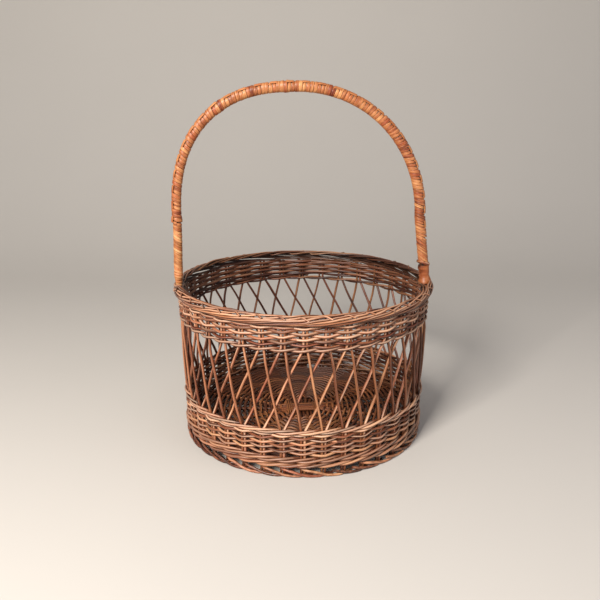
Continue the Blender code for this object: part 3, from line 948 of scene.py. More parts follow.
@dataclass
class StakePairs:
    """The pairs of stakes, from the foot up through both bands and into the rolled border.

    Attributes:
        plan: The ring of stakes.
        levels: The basket's heights.
        bow: The handle's line, which the border rods part round.
        stake_radius: Radius of a stake at its foot.
        tip_radius: Radius where it enters the upper band.
        bye_radius: Radius of a bye-stake.
        border_rods: Radius of a stake's end where it enters the border and where it ends.
        ring: Radius of the roll that the border rods lie on.
        rolled: Where in the roll an end lies after each spacing, in degrees from straight outwards.
        tip_at: Spacing at which the cut tip of an end comes out again at the front.
        layer: How far a stake lies in front of or behind the wall's middle.
        bend: Spacing at which an end leaves its stake.
        parting: How far from a leg of the handle the border rods part, in spacings.
        foot: Height at which the stakes start.
        draw: Where the stakes' own tones and cuts come from.
    """

    plan: WallPlan
    levels: Levels
    bow: BowLine
    stake_radius: float = 0.0018
    tip_radius: float = 0.0016
    bye_radius: float = 0.0019
    border_rods: tuple[float, float] = (0.0016, 0.0013)
    ring: float = 0.0055
    rolled: tuple[float, ...] = (-100.0, -128.0, -52.0, -22.0, 8.0, 38.0, 68.0, 98.0, 138.0, 190.0)
    tip_at: float = 9.05
    layer: float = 0.0020
    bend: float = 0.12
    parting: float = 0.7
    foot: float = 0.004
    draw: random.Random = field(default_factory=lambda: random.Random(36))

    def __post_init__(self) -> None:
        """Works out the height of the middle of the roll."""
        thick, thin = self.border_rods
        self.roll_z = self.levels.rim_top - self.ring - 0.5 * (thick + thin)

    def leg(self, low: float, high: float, layer: Layer, seed: float) -> Rod:
        """A stake from the foot to the top of the upper band.

        Args:
            low: Its column in the lower band.
            high: Its column in the upper band.
            layer: The side of the crossing on which it lies.
            seed: Number of its unevenness.

        Returns:
            The stake.
        """
        levels = self.levels
        foot_radius = self.stake_radius if layer is Layer.OUTER else self.bye_radius
        foot_radius *= 1.0 + 0.09 * wobble(0.5, seed + 77.0)
        heights = list(np.linspace(self.foot, levels.open_bottom, 5))[:-1]
        heights += list(np.linspace(levels.open_bottom, levels.open_top, 25))
        heights += list(np.linspace(levels.open_top, levels.upper_top, 6))[1:]
        rod = Rod()
        for height in heights:
            held = held_share((height - levels.open_bottom) / (levels.open_top - levels.open_bottom))
            bow = math.sin(math.pi * held)
            column = low + (high - low) * eased(held, 0.03)
            column += 0.06 * bow * wobble(1.9 * held, seed)
            out = layer.value * self.layer * min(1.0, 6.0 * held, 6.0 * (1.0 - held))
            out += 0.0005 * bow * wobble(1.5 * held, seed + 50.0)
            climb = (height - self.foot) / (levels.upper_top - self.foot)
            radius = foot_radius * (1.0 + (self.tip_radius / self.stake_radius - 1.0) * climb)
            radius *= 1.0 + 0.05 * wobble(6.0 * climb, seed + 9.0)
            rod.add(self.plan.at(column, self.plan.wall(height) + out, height), radius)
        return rod

    def roll(self, spacings: float) -> float:
        """Way from the roll's middle to an end after some spacings, 0 for straight outwards."""
        return math.radians(float(np.interp(spacings, range(len(self.rolled)), self.rolled)))

    def leg_distance(self, leg: Leg, height: float) -> float:
        """Distance of a handle leg from the basket's axis at a height in the rim."""
        foot = self.bow.feet[leg]
        wall = self.plan.wall(self.levels.upper_top)
        share = (height - self.levels.upper_top) / (foot.z - self.levels.upper_top)
        return wall + (math.hypot(foot.x, foot.y) - wall) * held_share(share)

    def parted(
        self, column: float, spacings: float, place: tuple[float, float]
    ) -> tuple[float, float, float]:
        """Where a border rod lies once it has made way for the handle's legs.

        Args:
            column: The column at which its stake stands.
            spacings: How far it has gone.
            place: Its distance from the axis and its height if there were no handle.

        Returns:
            The distance, the height, and the share of its full thickness that is left.
        """
        distance, height = place
        slimmer = 1.0
        for leg in Leg:
            to_leg = (self.bow.column(leg) - column) % self.plan.columns
            window = max(0.0, 1.0 - ((spacings - to_leg) / self.parting) ** 2)
            if window == 0.0:
                continue
            turn = self.roll(to_leg)
            middle = self.leg_distance(leg, height)
            way = 1.0 if self.bow.rim_radius + self.ring * math.cos(turn) > middle else -1.0
            aside = middle + way * math.hypot(distance - middle, self.bow.foot_room)
            distance += window * (aside - distance)
            if leg is Leg.LEFT:
                height -= 0.0030 * window
            elif math.sin(turn) > 0.5:
                height += 0.0024 * window * (math.sin(turn) if way > 0.0 else 0.3)
            slimmer -= 0.12 * window
        return distance, height, slimmer

    def roll_over(self, rod: Rod, column: float, seed: float) -> None:
        """Leads a stake's own end into the rolled border.

        It passes inside the next stake, comes out at the bottom, rises slowly over the outside,
        goes in over the top, and its cut tip comes out again at the front between two others.

        Args:
            rod: The stake.
            column: The column at which the stake stands.
            seed: Number of its unevenness.
        """
        thick, thin = self.border_rods
        rim = self.bow.rim_radius
        last_rolled = self.tip_at - 0.85
        for spacings in np.arange(self.bend, last_rolled, 0.17):
            turn = self.roll(spacings) + math.radians(8.0) * wobble(0.7 * spacings, seed + 20.0)
            ring = self.ring + 0.0009 * wobble(0.8 * spacings, seed + 30.0)
            under_tip = max(0.0, 1.0 - ((spacings - self.tip_at + 4.25) / 0.4) ** 2)
            over_tip = max(0.0, 1.0 - ((spacings - self.tip_at + 3.15) / 0.4) ** 2)
            ring -= 0.0008 * under_tip
            turn += math.radians(8.0) * (over_tip - 0.6 * under_tip)
            flat = (rim + ring * math.cos(turn), self.roll_z + ring * math.sin(turn))
            distance, height, slimmer = self.parted(column, spacings, flat)
            radius = thick + (thin - thick) * spacings / self.tip_at
            radius *= 1.0 + 0.16 * wobble(0.3, seed + 80.0)
            radius *= 1.0 + 0.10 * wobble(1.1 * spacings, seed + 40.0)
            radius *= slimmer * (0.9 + 0.1 * smooth_step(spacings))
            rod.add(self.plan.at(column + spacings, distance, height), radius)
        tip_turn = math.radians(22.0 + 8.0 * wobble(0.2, seed + 60.0))
        for share, turn, ring in ((0.22, 1.6, 0.3), (0.48, 1.15, 0.85), (0.72, 0.6, 1.22), (1.0, 0.0, 1.32)):
            angle = tip_turn + turn
            spacings = last_rolled + share * (self.tip_at - last_rolled)
            reach = self.ring * ring
            flat = (rim + reach * math.cos(angle), self.roll_z + reach * math.sin(angle))
            distance, height, slimmer = self.parted(column, spacings, flat)
            rod.add(self.plan.at(column + spacings, distance, height), 0.95 * thin * slimmer)

    def pair(self, number: int) -> list[Rod]:
        """The stake and the bye-stake of one pair.

        Args:
            number: The pair's place from the front, towards +X.

        Returns:
            The two rods.
        """
        plan = self.plan
        low_half = 0.5 * plan.lower_gap
        high_half = 0.5 * plan.upper_gap
        seed = 1.7 * number + 0.3
        left_high = number - 1.0 + plan.upper_shift + high_half
        right_high = number + 2.0 + plan.upper_shift - high_half
        right_hand = 0.5 + 0.5 * math.sin(plan.angle(number))
        stake = self.leg(number - low_half, left_high, Layer.OUTER, seed)
        self.roll_over(stake, left_high, seed)
        stake.tone = self.draw.uniform(0.0, 0.95)
        # Painted shade on the end of the stake that is rolled into the border
        stake.shade = (UNSHADED, UNSHADED, UNSHADED, 0.35, 0.28, 0.33, 0.25)
        stake.warmth = (0.75, 0.7, 0.25 + 0.6 * right_hand, 0.1 + 0.75 * right_hand)
        stake.slants = (0.0, self.draw.uniform(0.3, 0.9))
        bye_stake = self.leg(number + low_half, right_high, Layer.INNER, seed + 0.9)
        bye_stake.tone = self.draw.uniform(0.25, 0.8)
        bye_stake.warmth = (self.draw.uniform(0.0, 0.45),)
        return [stake, bye_stake]

    def build(self) -> None:
        """Lays every pair, each in place of its own solid."""
        look = Look(STAKE_FINISH.material(), PaintedShading(painted_highlight=0.46, roll=(self.bow.rim_radius, self.roll_z)))
        for number in range(self.plan.columns):
            name = f"willow_stakes_{number + 1:02d}"
            lay(name, self.pair(number), ROD_SIDES, look, "stake_rod", f"stake_pair_{number + 1:02d}")


@dataclass
class WovenBand:
    """A band of randing: two weavers chase each other, each before one pair and behind the next.

    Attributes:
        name: Start of the pieces' names.
        ring: The stake pairs that it passes.
        bottom: Lowest height of the band.
        top: Highest height of the band.
        rows: Rows between the two.
        crest_radius: Radius of a weaver where it passes a pair.
        cross_radius: Radius where the two weavers cross.
        seed: Number of its unevenness.
        nodes: The solids of the two weavers.
        rise: How far a weaver swings up and down between two pairs.
        rod_spacings: Shortest and longest rod of a weaver, in spacings.
        steps: Points in a spacing.
    """

    name: str
    ring: Ring
    bottom: float
    top: float
    rows: int
    crest_radius: float
    cross_radius: float
    seed: int
    nodes: tuple[str, str]
    rise: float = 0.0007
    rod_spacings: tuple[int, int] = (22, 34)
    steps: int = 5

    def first(self, strand: int) -> int:
        """The place at which a weaver starts, the second one at the other side of the wall."""
        return -(self.ring.plan.columns // 2) * (1 + strand)

    def line(self, strand: int, place: float, kinks: dict[int, float]) -> tuple[Vector, float]:
        """A point of a weaver and its radius there.

        Args:
            strand: Which of the two weavers.
            place: How far it has gone, in spacings from the front.
            kinks: How far each passing of a pair sags.

        Returns:
            The point and the radius.
        """
        pitch = (self.top - self.bottom) / self.rows
        swing = 0.94 * (self.ring.stake_radius + self.crest_radius)
        turn = math.pi * (place + strand)
        from_pair = abs(place - round(place))
        gap = self.ring.pair_gap
        straight = 1.0 - max(0.0, 2.0 * from_pair - gap) / (1.0 - gap)
        side = 0.35 * math.cos(turn) + 0.65 * math.copysign(straight, math.cos(turn))
        seed = 11.0 * strand + self.seed
        climbed = 2.0 * pitch * (place - self.first(strand)) / self.ring.plan.columns
        height = self.bottom + 0.5 * pitch + climbed
        height += self.rise * math.sin(turn) * (0.65 + 0.35 * side) + 0.00035 * wobble(0.45 * place, seed)
        sag = kinks.get(round(place), 0.0006) * max(0.0, 1.0 - 1.7 * from_pair)
        height -= sag * math.cos(turn)
        out = swing * side * (1.0 + 0.07 * wobble(0.6 * place, seed + 3.0))
        radius = self.cross_radius + (self.crest_radius - self.cross_radius) * math.cos(turn) ** 2
        radius *= (1.0 - 0.11 * side) * (1.0 + 0.06 * wobble(0.8 * place, seed + 6.0))
        height = min(self.top - radius, max(self.bottom + radius, height))
        return self.ring.at(place, out, height), radius

    def weaver(self, strand: int) -> list[Rod]:
        """The willow rods that make up one weaver, each started behind a pair.

        Args:
            strand: Which of the two weavers.

        Returns:
            The rods in order.
        """
        draw = random.Random(self.seed + strand)
        first = self.first(strand)
        last = first + self.rows * (self.ring.plan.columns // 2)
        kinks = {column: draw.choice((0.0003, 0.0006, 0.0009, 0.0013)) for column in range(first, last + 2)}
        rods = []
        start = float(first)
        while start < last:
            end = min(float(last), start + draw.randint(*self.rod_spacings))
            if last - end < 8.0:
                end = float(last)
            places = np.arange(start - 0.35, end + 0.36, 1.0 / self.steps)
            # Painted shade where the weaver crosses between two pairs, a slight painted highlight where it
            # passes a pair
            rod = Rod(shade=[0.16 + 0.5 * math.cos(math.pi * place) ** 2 for place in places])
            for place in places:
                point, radius = self.line(strand, place, kinks)
                taper = 1.06 - 0.14 * (place - places[0]) / (places[-1] - places[0])
                tail = smooth_step((place - end + 0.5) / 0.8)
                inward = Vector((point.x, point.y, 0.0)).normalized()
                rod.add(point - inward * (0.0032 * tail), radius * taper)
            own = draw.uniform(-0.25, 0.25)
            rod.warmth = [held_share(self.ring.warmth(place) + own) for place in places]
            rod.slants = (draw.uniform(0.2, 1.0), draw.uniform(0.2, 1.2))
            rod.tone = draw.uniform(0.0, 1.0)
            rods.append(rod)
            start = end
        return rods

    def build(self) -> None:
        """Lays both weavers."""
        look = Look(WEAVER_FINISH.material(), PaintedShading(inside=0.22, painted_highlight=0.38))
        for strand, (letter, node) in enumerate(zip("ab", self.nodes)):
            lay(f"{self.name}_{letter}", self.weaver(strand), ROD_SIDES, look, "weaver_rod", node)


@dataclass
class Wale:
    """Rods that travel together round the wall, each before some pairs and behind the next.

    Attributes:
        name: Start of the pieces' names.
        ring: The stake pairs that it passes.
        height: Middle height of its first round.
        radius: Radius of a rod.
        out_steps: Side of the wall at each pair, 1 in front and -1 behind.
        up_steps: Height at each pair, in rod radii.
        slot: The record's material slot.
        seed: Number of its unevenness.
        nodes: The solid that each rod stands for.
        rounds: How many rounds it makes.
        climb: How much higher each round lies.
        cross: How far a strand rises from where it comes out to where it goes in.
        steps: Points in a spacing.
    """

    name: str
    ring: Ring
    height: float
    radius: float
    out_steps: tuple[float, ...]
    up_steps: tuple[float, ...]
    slot: str
    seed: int
    nodes: tuple[str, ...]
    rounds: int = 1
    climb: float = 0.0
    cross: float = 0.0
    steps: int = 6

    def rods(self, strand: int) -> list[Rod]:
        """The lengths of willow that one travelling rod is made of.

        Args:
            strand: Which rod.

        Returns:
            The lengths in order.
        """
        draw = random.Random(self.seed + 10 * strand)
        columns = self.ring.plan.columns
        swing = (self.ring.stake_radius + self.radius) / math.cos(0.5 * math.pi * self.ring.pair_gap)
        first = -columns // 2
        last = first + self.rounds * columns
        starts = [first]
        while last - starts[-1] > 20:
            starts.append(starts[-1] + len(self.out_steps) * draw.randint(4, 6))
        if last - starts[-1] < 6:
            starts.pop()
        made = []
        seed = self.seed + 7.0 * strand
        for start, end in zip(starts, starts[1:] + [last]):
            places = np.arange(start - 0.2, end + 0.2, 1.0 / self.steps)
            rod = Rod(warmth=[self.ring.warmth(place) for place in places])
            for place in places:
                phase = place + strand
                out = swing * round_spline(self.out_steps, phase)
                out *= 1.0 + 0.06 * wobble(0.5 * place, seed)
                up = self.radius * round_spline(self.up_steps, phase)
                up += self.cross * math.sin(math.pi * phase)
                done = (place - first) / columns
                risen = math.floor(done) + smooth_step(12.0 * (done % 1.0) - 11.0)
                height = self.height + up + self.climb * risen
                height += 0.0003 * wobble(0.6 * place, seed + 2.0)
                radius = self.radius * (1.0 + 0.07 * wobble(0.7 * place, seed + 4.0))
                rod.add(self.ring.at(place, out, height), radius)
            rod.slants = (draw.uniform(0.3, 1.2), draw.uniform(0.3, 1.2))
            rod.tone = draw.uniform(0.0, 1.0)
            made.append(rod)
        return made

    def build(self, finish_of_rods: WillowFinish) -> None:
        """Lays every rod of the wale, in one piece for each solid.

        Args:
            finish_of_rods: Its bark.
        """
        look = Look(finish_of_rods.material(), PaintedShading(painted_highlight=0.24))
        shares: list[list[Rod]] = [[] for _ in self.nodes]
        for strand in range(len(self.out_steps)):
            shares[strand % len(self.nodes)].extend(self.rods(strand))
        for letter, node, rods in zip("abc", self.nodes, shares):
            lay(f"{self.name}_{letter}", rods, FOOT_SIDES, look, self.slot, node)


@dataclass
class FootBorder:
    """The rope-like border under the wale: one rod from each pair, sinking to the right.

    Attributes:
        plan: The ring of stakes.
        levels: The basket's heights.
        radius: Radius of a rod.
        reach: Length of a rod in spacings.
        stake_radius: Radius of the stakes that it passes.
        patched: Pairs at which a new rod was laid in, with its blunt butt in view.
        draw: Where the rods' own tones come from.
    """

    plan: WallPlan
    levels: Levels
    radius: float = 0.0018
    reach: float = 2.5
    stake_radius: float = 0.0019
    patched: tuple[int, ...] = (1, 2, 4)
    draw: random.Random = field(default_factory=lambda: random.Random(5))

    def rod(self, number: int) -> Rod:
        """One rod of the border.

        Args:
            number: The pair that it starts from.

        Returns:
            The rod.
        """
        swing = self.stake_radius + self.radius + 0.0006
        high = self.levels.foot_top - 0.0040
        low = self.radius
        start = 0.42 if number in self.patched else -0.04
        seed = 2.3 * number
        rod = Rod(slants=(0.15, 0.8))
        if start < 0.0:
            rod.add(self.plan.at(number + start, self.plan.wall(high), high + 0.006), 0.85 * self.radius)
        for going in np.arange(start, self.reach, 0.14):
            out = smooth_step((going + 0.15) / 0.5) - 1.6 * smooth_step((going - 1.7) / 0.8)
            sink = eased(held_share(going / 1.5), 0.35)
            height = high + (low - high) * sink
            height += 0.0006 * wobble(0.8 * going, seed) * (1.0 - sink) * sink * 4.0
            distance = self.plan.wall(height) + swing * out * (1.0 + 0.08 * wobble(going, seed + 1.0))
            radius = self.radius * (1.0 + 0.06 * wobble(1.2 * going, seed + 3.0))
            rod.add(self.plan.at(number + going, distance, height), radius)
        rod.warmth = (0.5 + 0.35 * math.sin(self.plan.angle(number)) + self.draw.uniform(-0.2, 0.2),)
        rod.tone = self.draw.uniform(0.05, 0.85)
        return rod

    def build(self) -> None:
        """Lays the border in three pieces, as it is woven."""
        look = Look(FOOT_FINISH.material(), PaintedShading(painted_highlight=0.18))
        for strand, letter in enumerate("abc"):
            rods = [self.rod(number) for number in range(strand, self.plan.columns, 3)]
            lay(f"foot_rope_{letter}", rods, FOOT_SIDES, look, "foot_rod", f"foot_border_{letter}")


@dataclass
class WovenBase:
    """The round base: two layers of sticks, the tie of the cross and the weaving round the arms.

    Attributes:
        plan: The ring of stakes.
        middle_z: Height of the sticks' middle.
        stick_radius: Radius of a stick.
        weaver_radius: Radius of a weaver.
        start: Radius at which the weaving starts.
        edge_gap: How far inside the stakes it ends.
        pitch: Distance between two rounds.
        sticks: How many sticks there are.
        across: How many of them lie across the others.
        tie_radius: Radius of the tie.
        draw: Where the rods' own lengths and tones come from.
    """

    plan: WallPlan
    middle_z: float
    stick_radius: float = 0.0026
    weaver_radius: float = 0.00175
    start: float = 0.030
    edge_gap: float = 0.0078
    pitch: float = 0.0037
    sticks: int = 9
    across: int = 4
    tie_radius: float = 0.0014
    draw: random.Random = field(default_factory=lambda: random.Random(9))

    def __post_init__(self) -> None:
        """Works out how far apart the sticks lie at the cross."""
        self.stick_pitch = 2.05 * self.stick_radius

    def arm_angle(self, arm: float) -> float:
        """Azimuth of an arm, midway between two stake pairs."""
        return self.plan.angle(2.0 * arm + 0.5)

    def turned(self, side: float, along: float, facing: float) -> tuple[float, float]:
        """A place in plan beside and along a direction given as an azimuth."""
        return (
            along * math.sin(facing) + side * math.cos(facing),
            -along * math.cos(facing) + side * math.sin(facing),
        )

    def bundle(self, count: int, first: int, level: float) -> list[Rod]:
        """Sticks that lie side by side at the cross and fan out to their arms.

        Args:
            count: How many sticks.
            first: Number of the first arm.
            level: How far the layer lies above the middle, below it where negative.

        Returns:
            The sticks.
        """
        near = self.arm_angle(first + 0.5 * (count - 1))
        far = self.arm_angle(first + 0.5 * (count - 1) + self.sticks)
        facing = 0.5 * (near + far - math.pi)
        cross = 0.5 * (self.sticks - self.across) * self.stick_pitch + 5.0 * self.tie_radius
        rods = []
        for index in range(count):
            side = self.stick_pitch * (index - 0.5 * (count - 1))
            points = []
            for arm, way in ((first + index, 1.0), (first + self.sticks + count - 1 - index, -1.0)):
                angle = self.arm_angle(arm)
                half = []
                for share in np.linspace(1.0, 0.0, 12):
                    distance = cross + (self.plan.radius - cross) * share
                    fan = smooth_step(share * 3.0)
                    straight = self.turned(side, way * distance, facing)
                    x = straight[0] + (distance * math.sin(angle) - straight[0]) * fan
                    y = straight[1] + (-distance * math.cos(angle) - straight[1]) * fan
                    half.append(Vector((x, y, self.middle_z + level * (1.0 - smooth_step(5.0 * share)))))
                points.extend(half if way > 0 else half[::-1])
            rods.append(Rod(points, [self.stick_radius] * len(points), self.draw.uniform(0.2, 0.7)))
        return rods

    def tie(self) -> Rod:
        """The rod that binds the cross, over the across sticks and under the others."""
        facing = 0.5 * (self.arm_angle(0.0) + self.arm_angle(float(self.sticks)) - math.pi)
        beside_length = 0.5 * (self.sticks - self.across - 1) * self.stick_pitch + self.stick_radius
        beside_across = 0.5 * (self.across - 1) * self.stick_pitch + self.stick_radius
        rise = 2.0 * self.stick_radius + self.tie_radius + 0.0006
        rod = Rod(tone=0.6, warmth=(0.6,))
        for step in range(13):
            out = self.tie_radius + 2.2 * self.tie_radius * step / 4.0
            along = (beside_across + out) * (1.0 if step % 4 in (1, 2) else -1.0)
            side = (beside_length + out) * (1.0 if step % 4 in (0, 1) else -1.0)
            level = 0.6 * (rise if step % 2 == 0 else -rise)
            x, y = self.turned(side, along, facing)
            rod.add(Vector((x, y, self.middle_z - level)), self.tie_radius)
            rod.add(Vector((x, y, self.middle_z + level)), self.tie_radius)
        return rod

    def weaving(self, strand: int) -> list[Rod]:
        """The weaving rods of one strand, from the middle to the edge.

        Args:
            strand: Which of the two strands.

        Returns:
            The rods.
        """
        arms = 2 * self.sticks
        swing = self.stick_radius + self.weaver_radius
        total = (self.plan.radius - self.edge_gap - self.start) / (2.0 * self.pitch) * arms
        rods = []
        done = 0.0
        while done < total:
            end = min(total, done + self.draw.randint(16, 34))
            rod = Rod()
            shades = []
            for going in np.arange(done, end + 0.2, 0.25):
                arm = going - self.sticks * strand
                distance = self.start + 2.0 * self.pitch * going / arms
                distance += 0.0004 * wobble(0.4 * going, 3.0 + strand)
                side = math.cos(math.pi * (arm + strand))
                radius = self.weaver_radius * (1.0 + 0.08 * wobble(0.5 * going, 8.0 + strand))
                rod.add(polar(distance, self.arm_angle(arm), self.middle_z + swing * side), radius)
                # Painted highlight where the weaver lies over the sticks and painted shade where it lies
                # under them
                shades.append(0.45 + 0.25 * side)
            rod.shade = shades
            rod.warmth = (self.draw.uniform(0.3, 0.9),)
            rod.tone = self.draw.uniform(0.1, 0.9)
            rods.append(rod)
            done = end
        return rods

    def build(self) -> None:
        """Lays the sticks, the tie and the weaving."""
        look = Look(BASE_FINISH.material(), PaintedShading(inside=0.1, painted_highlight=0.1))
        lengthways = self.sticks - self.across
        first = -(lengthways // 2)
        level = self.stick_radius
        long_sticks = self.bundle(lengthways, first, -level)
        lay("base_sticks_long", long_sticks, ROD_SIDES, look, "base_rod", "base_sticks_lengthways")
        cross_sticks = self.bundle(self.across, first + lengthways, level)
        lay("base_sticks_cross", cross_sticks, ROD_SIDES, look, "base_rod", "base_sticks_across")
        lay("cross_tie", [self.tie()], ROD_SIDES, look, "base_rod", "slath_tie")
        for strand, letter in enumerate("ab"):
            name = f"base_weaving_{letter}"
            lay(name, self.weaving(strand), FINE_SIDES, look, "base_rod", f"base_weaver_{letter}")


# The bow handle


def leader_height(along: float, period: float) -> float:
    """Whether the leader lies over the turns, 1, or under them, 0, with a soft change.

    Args:
        along: Place along the bow.
        period: Length of one over and under.

    Returns:
        The share of its full height.
    """
    share = (along / period) % 1.0
    edge = 0.05
    return smooth_step(share / edge) * (1.0 - smooth_step((share - 0.5) / edge))


@dataclass
class Lapping:
    """Flat skein wound round a stretch of the bow.

    Attributes:
        name: The piece's name.
        bow: The handle's line.
        bow_radius: Radius of the bow under it, as a function of the place.
        start: Where the winding starts along the bow.
        end: Where it ends.
        pitch: Distance from one turn to the next.
        width: Width of the skein.
        thickness: Thickness of the skein.
        lean: How far the turns lean, as a function of the place.
        bulge: Extra height of the turns, as a function of the place.
        closing: How much closer than the mean the turns lie at the end, and wider at the start.
        leader_period: Length of one over and under of the leader, 0 where there is none.
        steps: Points in a turn.
        seed: Number of its unevenness.
    """

    name: str
    bow: BowLine
    bow_radius: Callable[[float], float]
    start: float
    end: float
    pitch: float
    width: float
    thickness: float
    lean: Callable[[float], float]
    bulge: Callable[[float], float] = lambda along: 0.0
    closing: float = 0.0
    leader_period: float = 0.0
    steps: int = 14
    seed: int = 3

    def __post_init__(self) -> None:
        """Fits whole turns into the stretch."""
        self.turns = max(1, round((self.end - self.start) / self.pitch))
        fitted = (self.end - self.start) / self.turns
        self.width *= fitted / self.pitch
        self.pitch = fitted

    def straight(self) -> Piece:
        """Winds the skein as a straight sleeve along X.

        Returns:
            The sleeve, a flat strip with round edges swept by a Screw modifier.
        """
        deselect()
        bpy.ops.mesh.primitive_circle_add(vertices=STRIP_SIDES, radius=1.0, location=(0.0, 0.0, 0.0))
        sleeve = bpy.context.object
        sleeve.name = self.name
        for vertex in sleeve.data.vertices:
            x, y, _ = vertex.co
            vertex.co.x = math.copysign(abs(x) ** 0.55, x)
            vertex.co.y = math.copysign(abs(y) ** 0.42, y)
        sleeve.scale = (0.5 * self.width, 0.5 * self.thickness, 1.0)
        sleeve.location = (0.0, 1.0, 0.0)
        bpy.ops.object.transform_apply(location=True, rotation=True, scale=True)
        screw = sleeve.modifiers.new("winding", "SCREW")
        screw.axis = "X"
        screw.angle = FULL_TURN
        screw.screw_offset = self.pitch
        screw.iterations = self.turns
        screw.steps = self.steps
        screw.render_steps = self.steps
        screw.use_merge_vertices = False
        bpy.ops.object.modifier_apply(modifier=screw.name)
        return sleeve

    def held(self, along: float, angle: float) -> tuple[float, float]:
        """How the leader lifts and parts the turns at a place.

        Args:
            along: Place along the bow.
            angle: Way round the bow.

        Returns:
            Extra height and the share of the width that is left.
        """
        if self.leader_period == 0.0:
            return 0.0, 1.0
        away = abs((angle - LEADER_ANGLE + math.pi) % FULL_TURN - math.pi)
        near = max(0.0, 1.0 - away / 0.85)
        if leader_height(along, self.leader_period) < 0.5:
            return 0.0009 * smooth_step(near * 1.6), 1.0
        return -0.0002 * near, 1.0 - 0.42 * smooth_step(near * 1.3)

    def bend(self, sleeve: Piece) -> None:
        """Bends the straight sleeve along the bow and gives each turn its own unevenness.

        Args:
            sleeve: The straight sleeve.
        """
        for number, vertex in enumerate(sleeve.data.vertices):
            x, y, z = vertex.co
            distance = math.hypot(y, z)
            angle = math.atan2(z, y)
            turn = number // STRIP_SIDES / self.steps
            wound = self.pitch * turn
            share = held_share(wound / (self.end - self.start))
            middle = self.start + wound * (1.0 + self.closing * (1.0 - share)) + 0.5 * self.pitch
            across = (x - wound) * (1.0 + self.closing * (1.0 - 2.0 * share))
            lift, narrow = self.held(middle, angle)
            across *= narrow * (1.0 + 0.06 * wobble(0.9 * turn, self.seed))
            along = middle + across + self.lean(middle) * self.bow_radius(middle) * math.sin(angle)
            along += 0.0002 * wobble(0.8 * turn, self.seed + 4.0)
            height = distance - 1.0 + 0.5 * self.thickness + lift + self.bulge(along)
            height += 0.00016 * wobble(1.1 * turn, self.seed + 8.0)
            vertex.co = self.bow.place(along, angle, self.bow_radius(along) + height)

    def dress(self, mesh: bpy.types.Mesh) -> None:
        """Writes the map along the skein and the bark attribute, one tone to each turn.

        Args:
            mesh: The sleeve's mesh, with its points still in the order of the winding.
        """
        layer, attribute = bark_layers(mesh)
        draw = random.Random(self.seed)
        tones = [draw.uniform(0.35, 0.85) for _ in range(TURN_TONES)]
        warmths = [draw.uniform(0.3, 1.0) for _ in range(TURN_TONES)]
        round_length = 0.042
        for face in mesh.polygons:
            corners = [(corner, mesh.loops[corner].vertex_index) for corner in face.loop_indices]
            shares = [point % STRIP_SIDES / STRIP_SIDES for _, point in corners]
            wraps = max(shares) - min(shares) > 0.5
            number = int(corners[0][1] // STRIP_SIDES / self.steps + 0.5)
            done = number * self.pitch / self.bow.length
            tone = tones[number] * (1.0 - 0.35 * smooth_step(2.0 * done - 0.9))
            for (corner, point), share in zip(corners, shares):
                across = share + 1.0 if wraps and share < 0.5 else share
                layer.uv[corner].vector = (across, point // STRIP_SIDES / self.steps * round_length)
                attribute.data[corner].color = (tone, UNSHADED, warmths[number], 0.0)

    def build(self, material: bpy.types.Material, *nodes: str) -> None:
        """Winds, bends and closes the lapping and hands it in.

        Args:
            material: The skein's finish.
            *nodes: The solids of the frame that it replaces.
        """
        sleeve = self.straight()
        self.bend(sleeve)
        self.dress(sleeve.data)
        with edited(sleeve):
            bpy.ops.mesh.fill_holes(sides=0)
        finish(sleeve, material)
        hand_in(sleeve, "lapping_skein", *nodes)


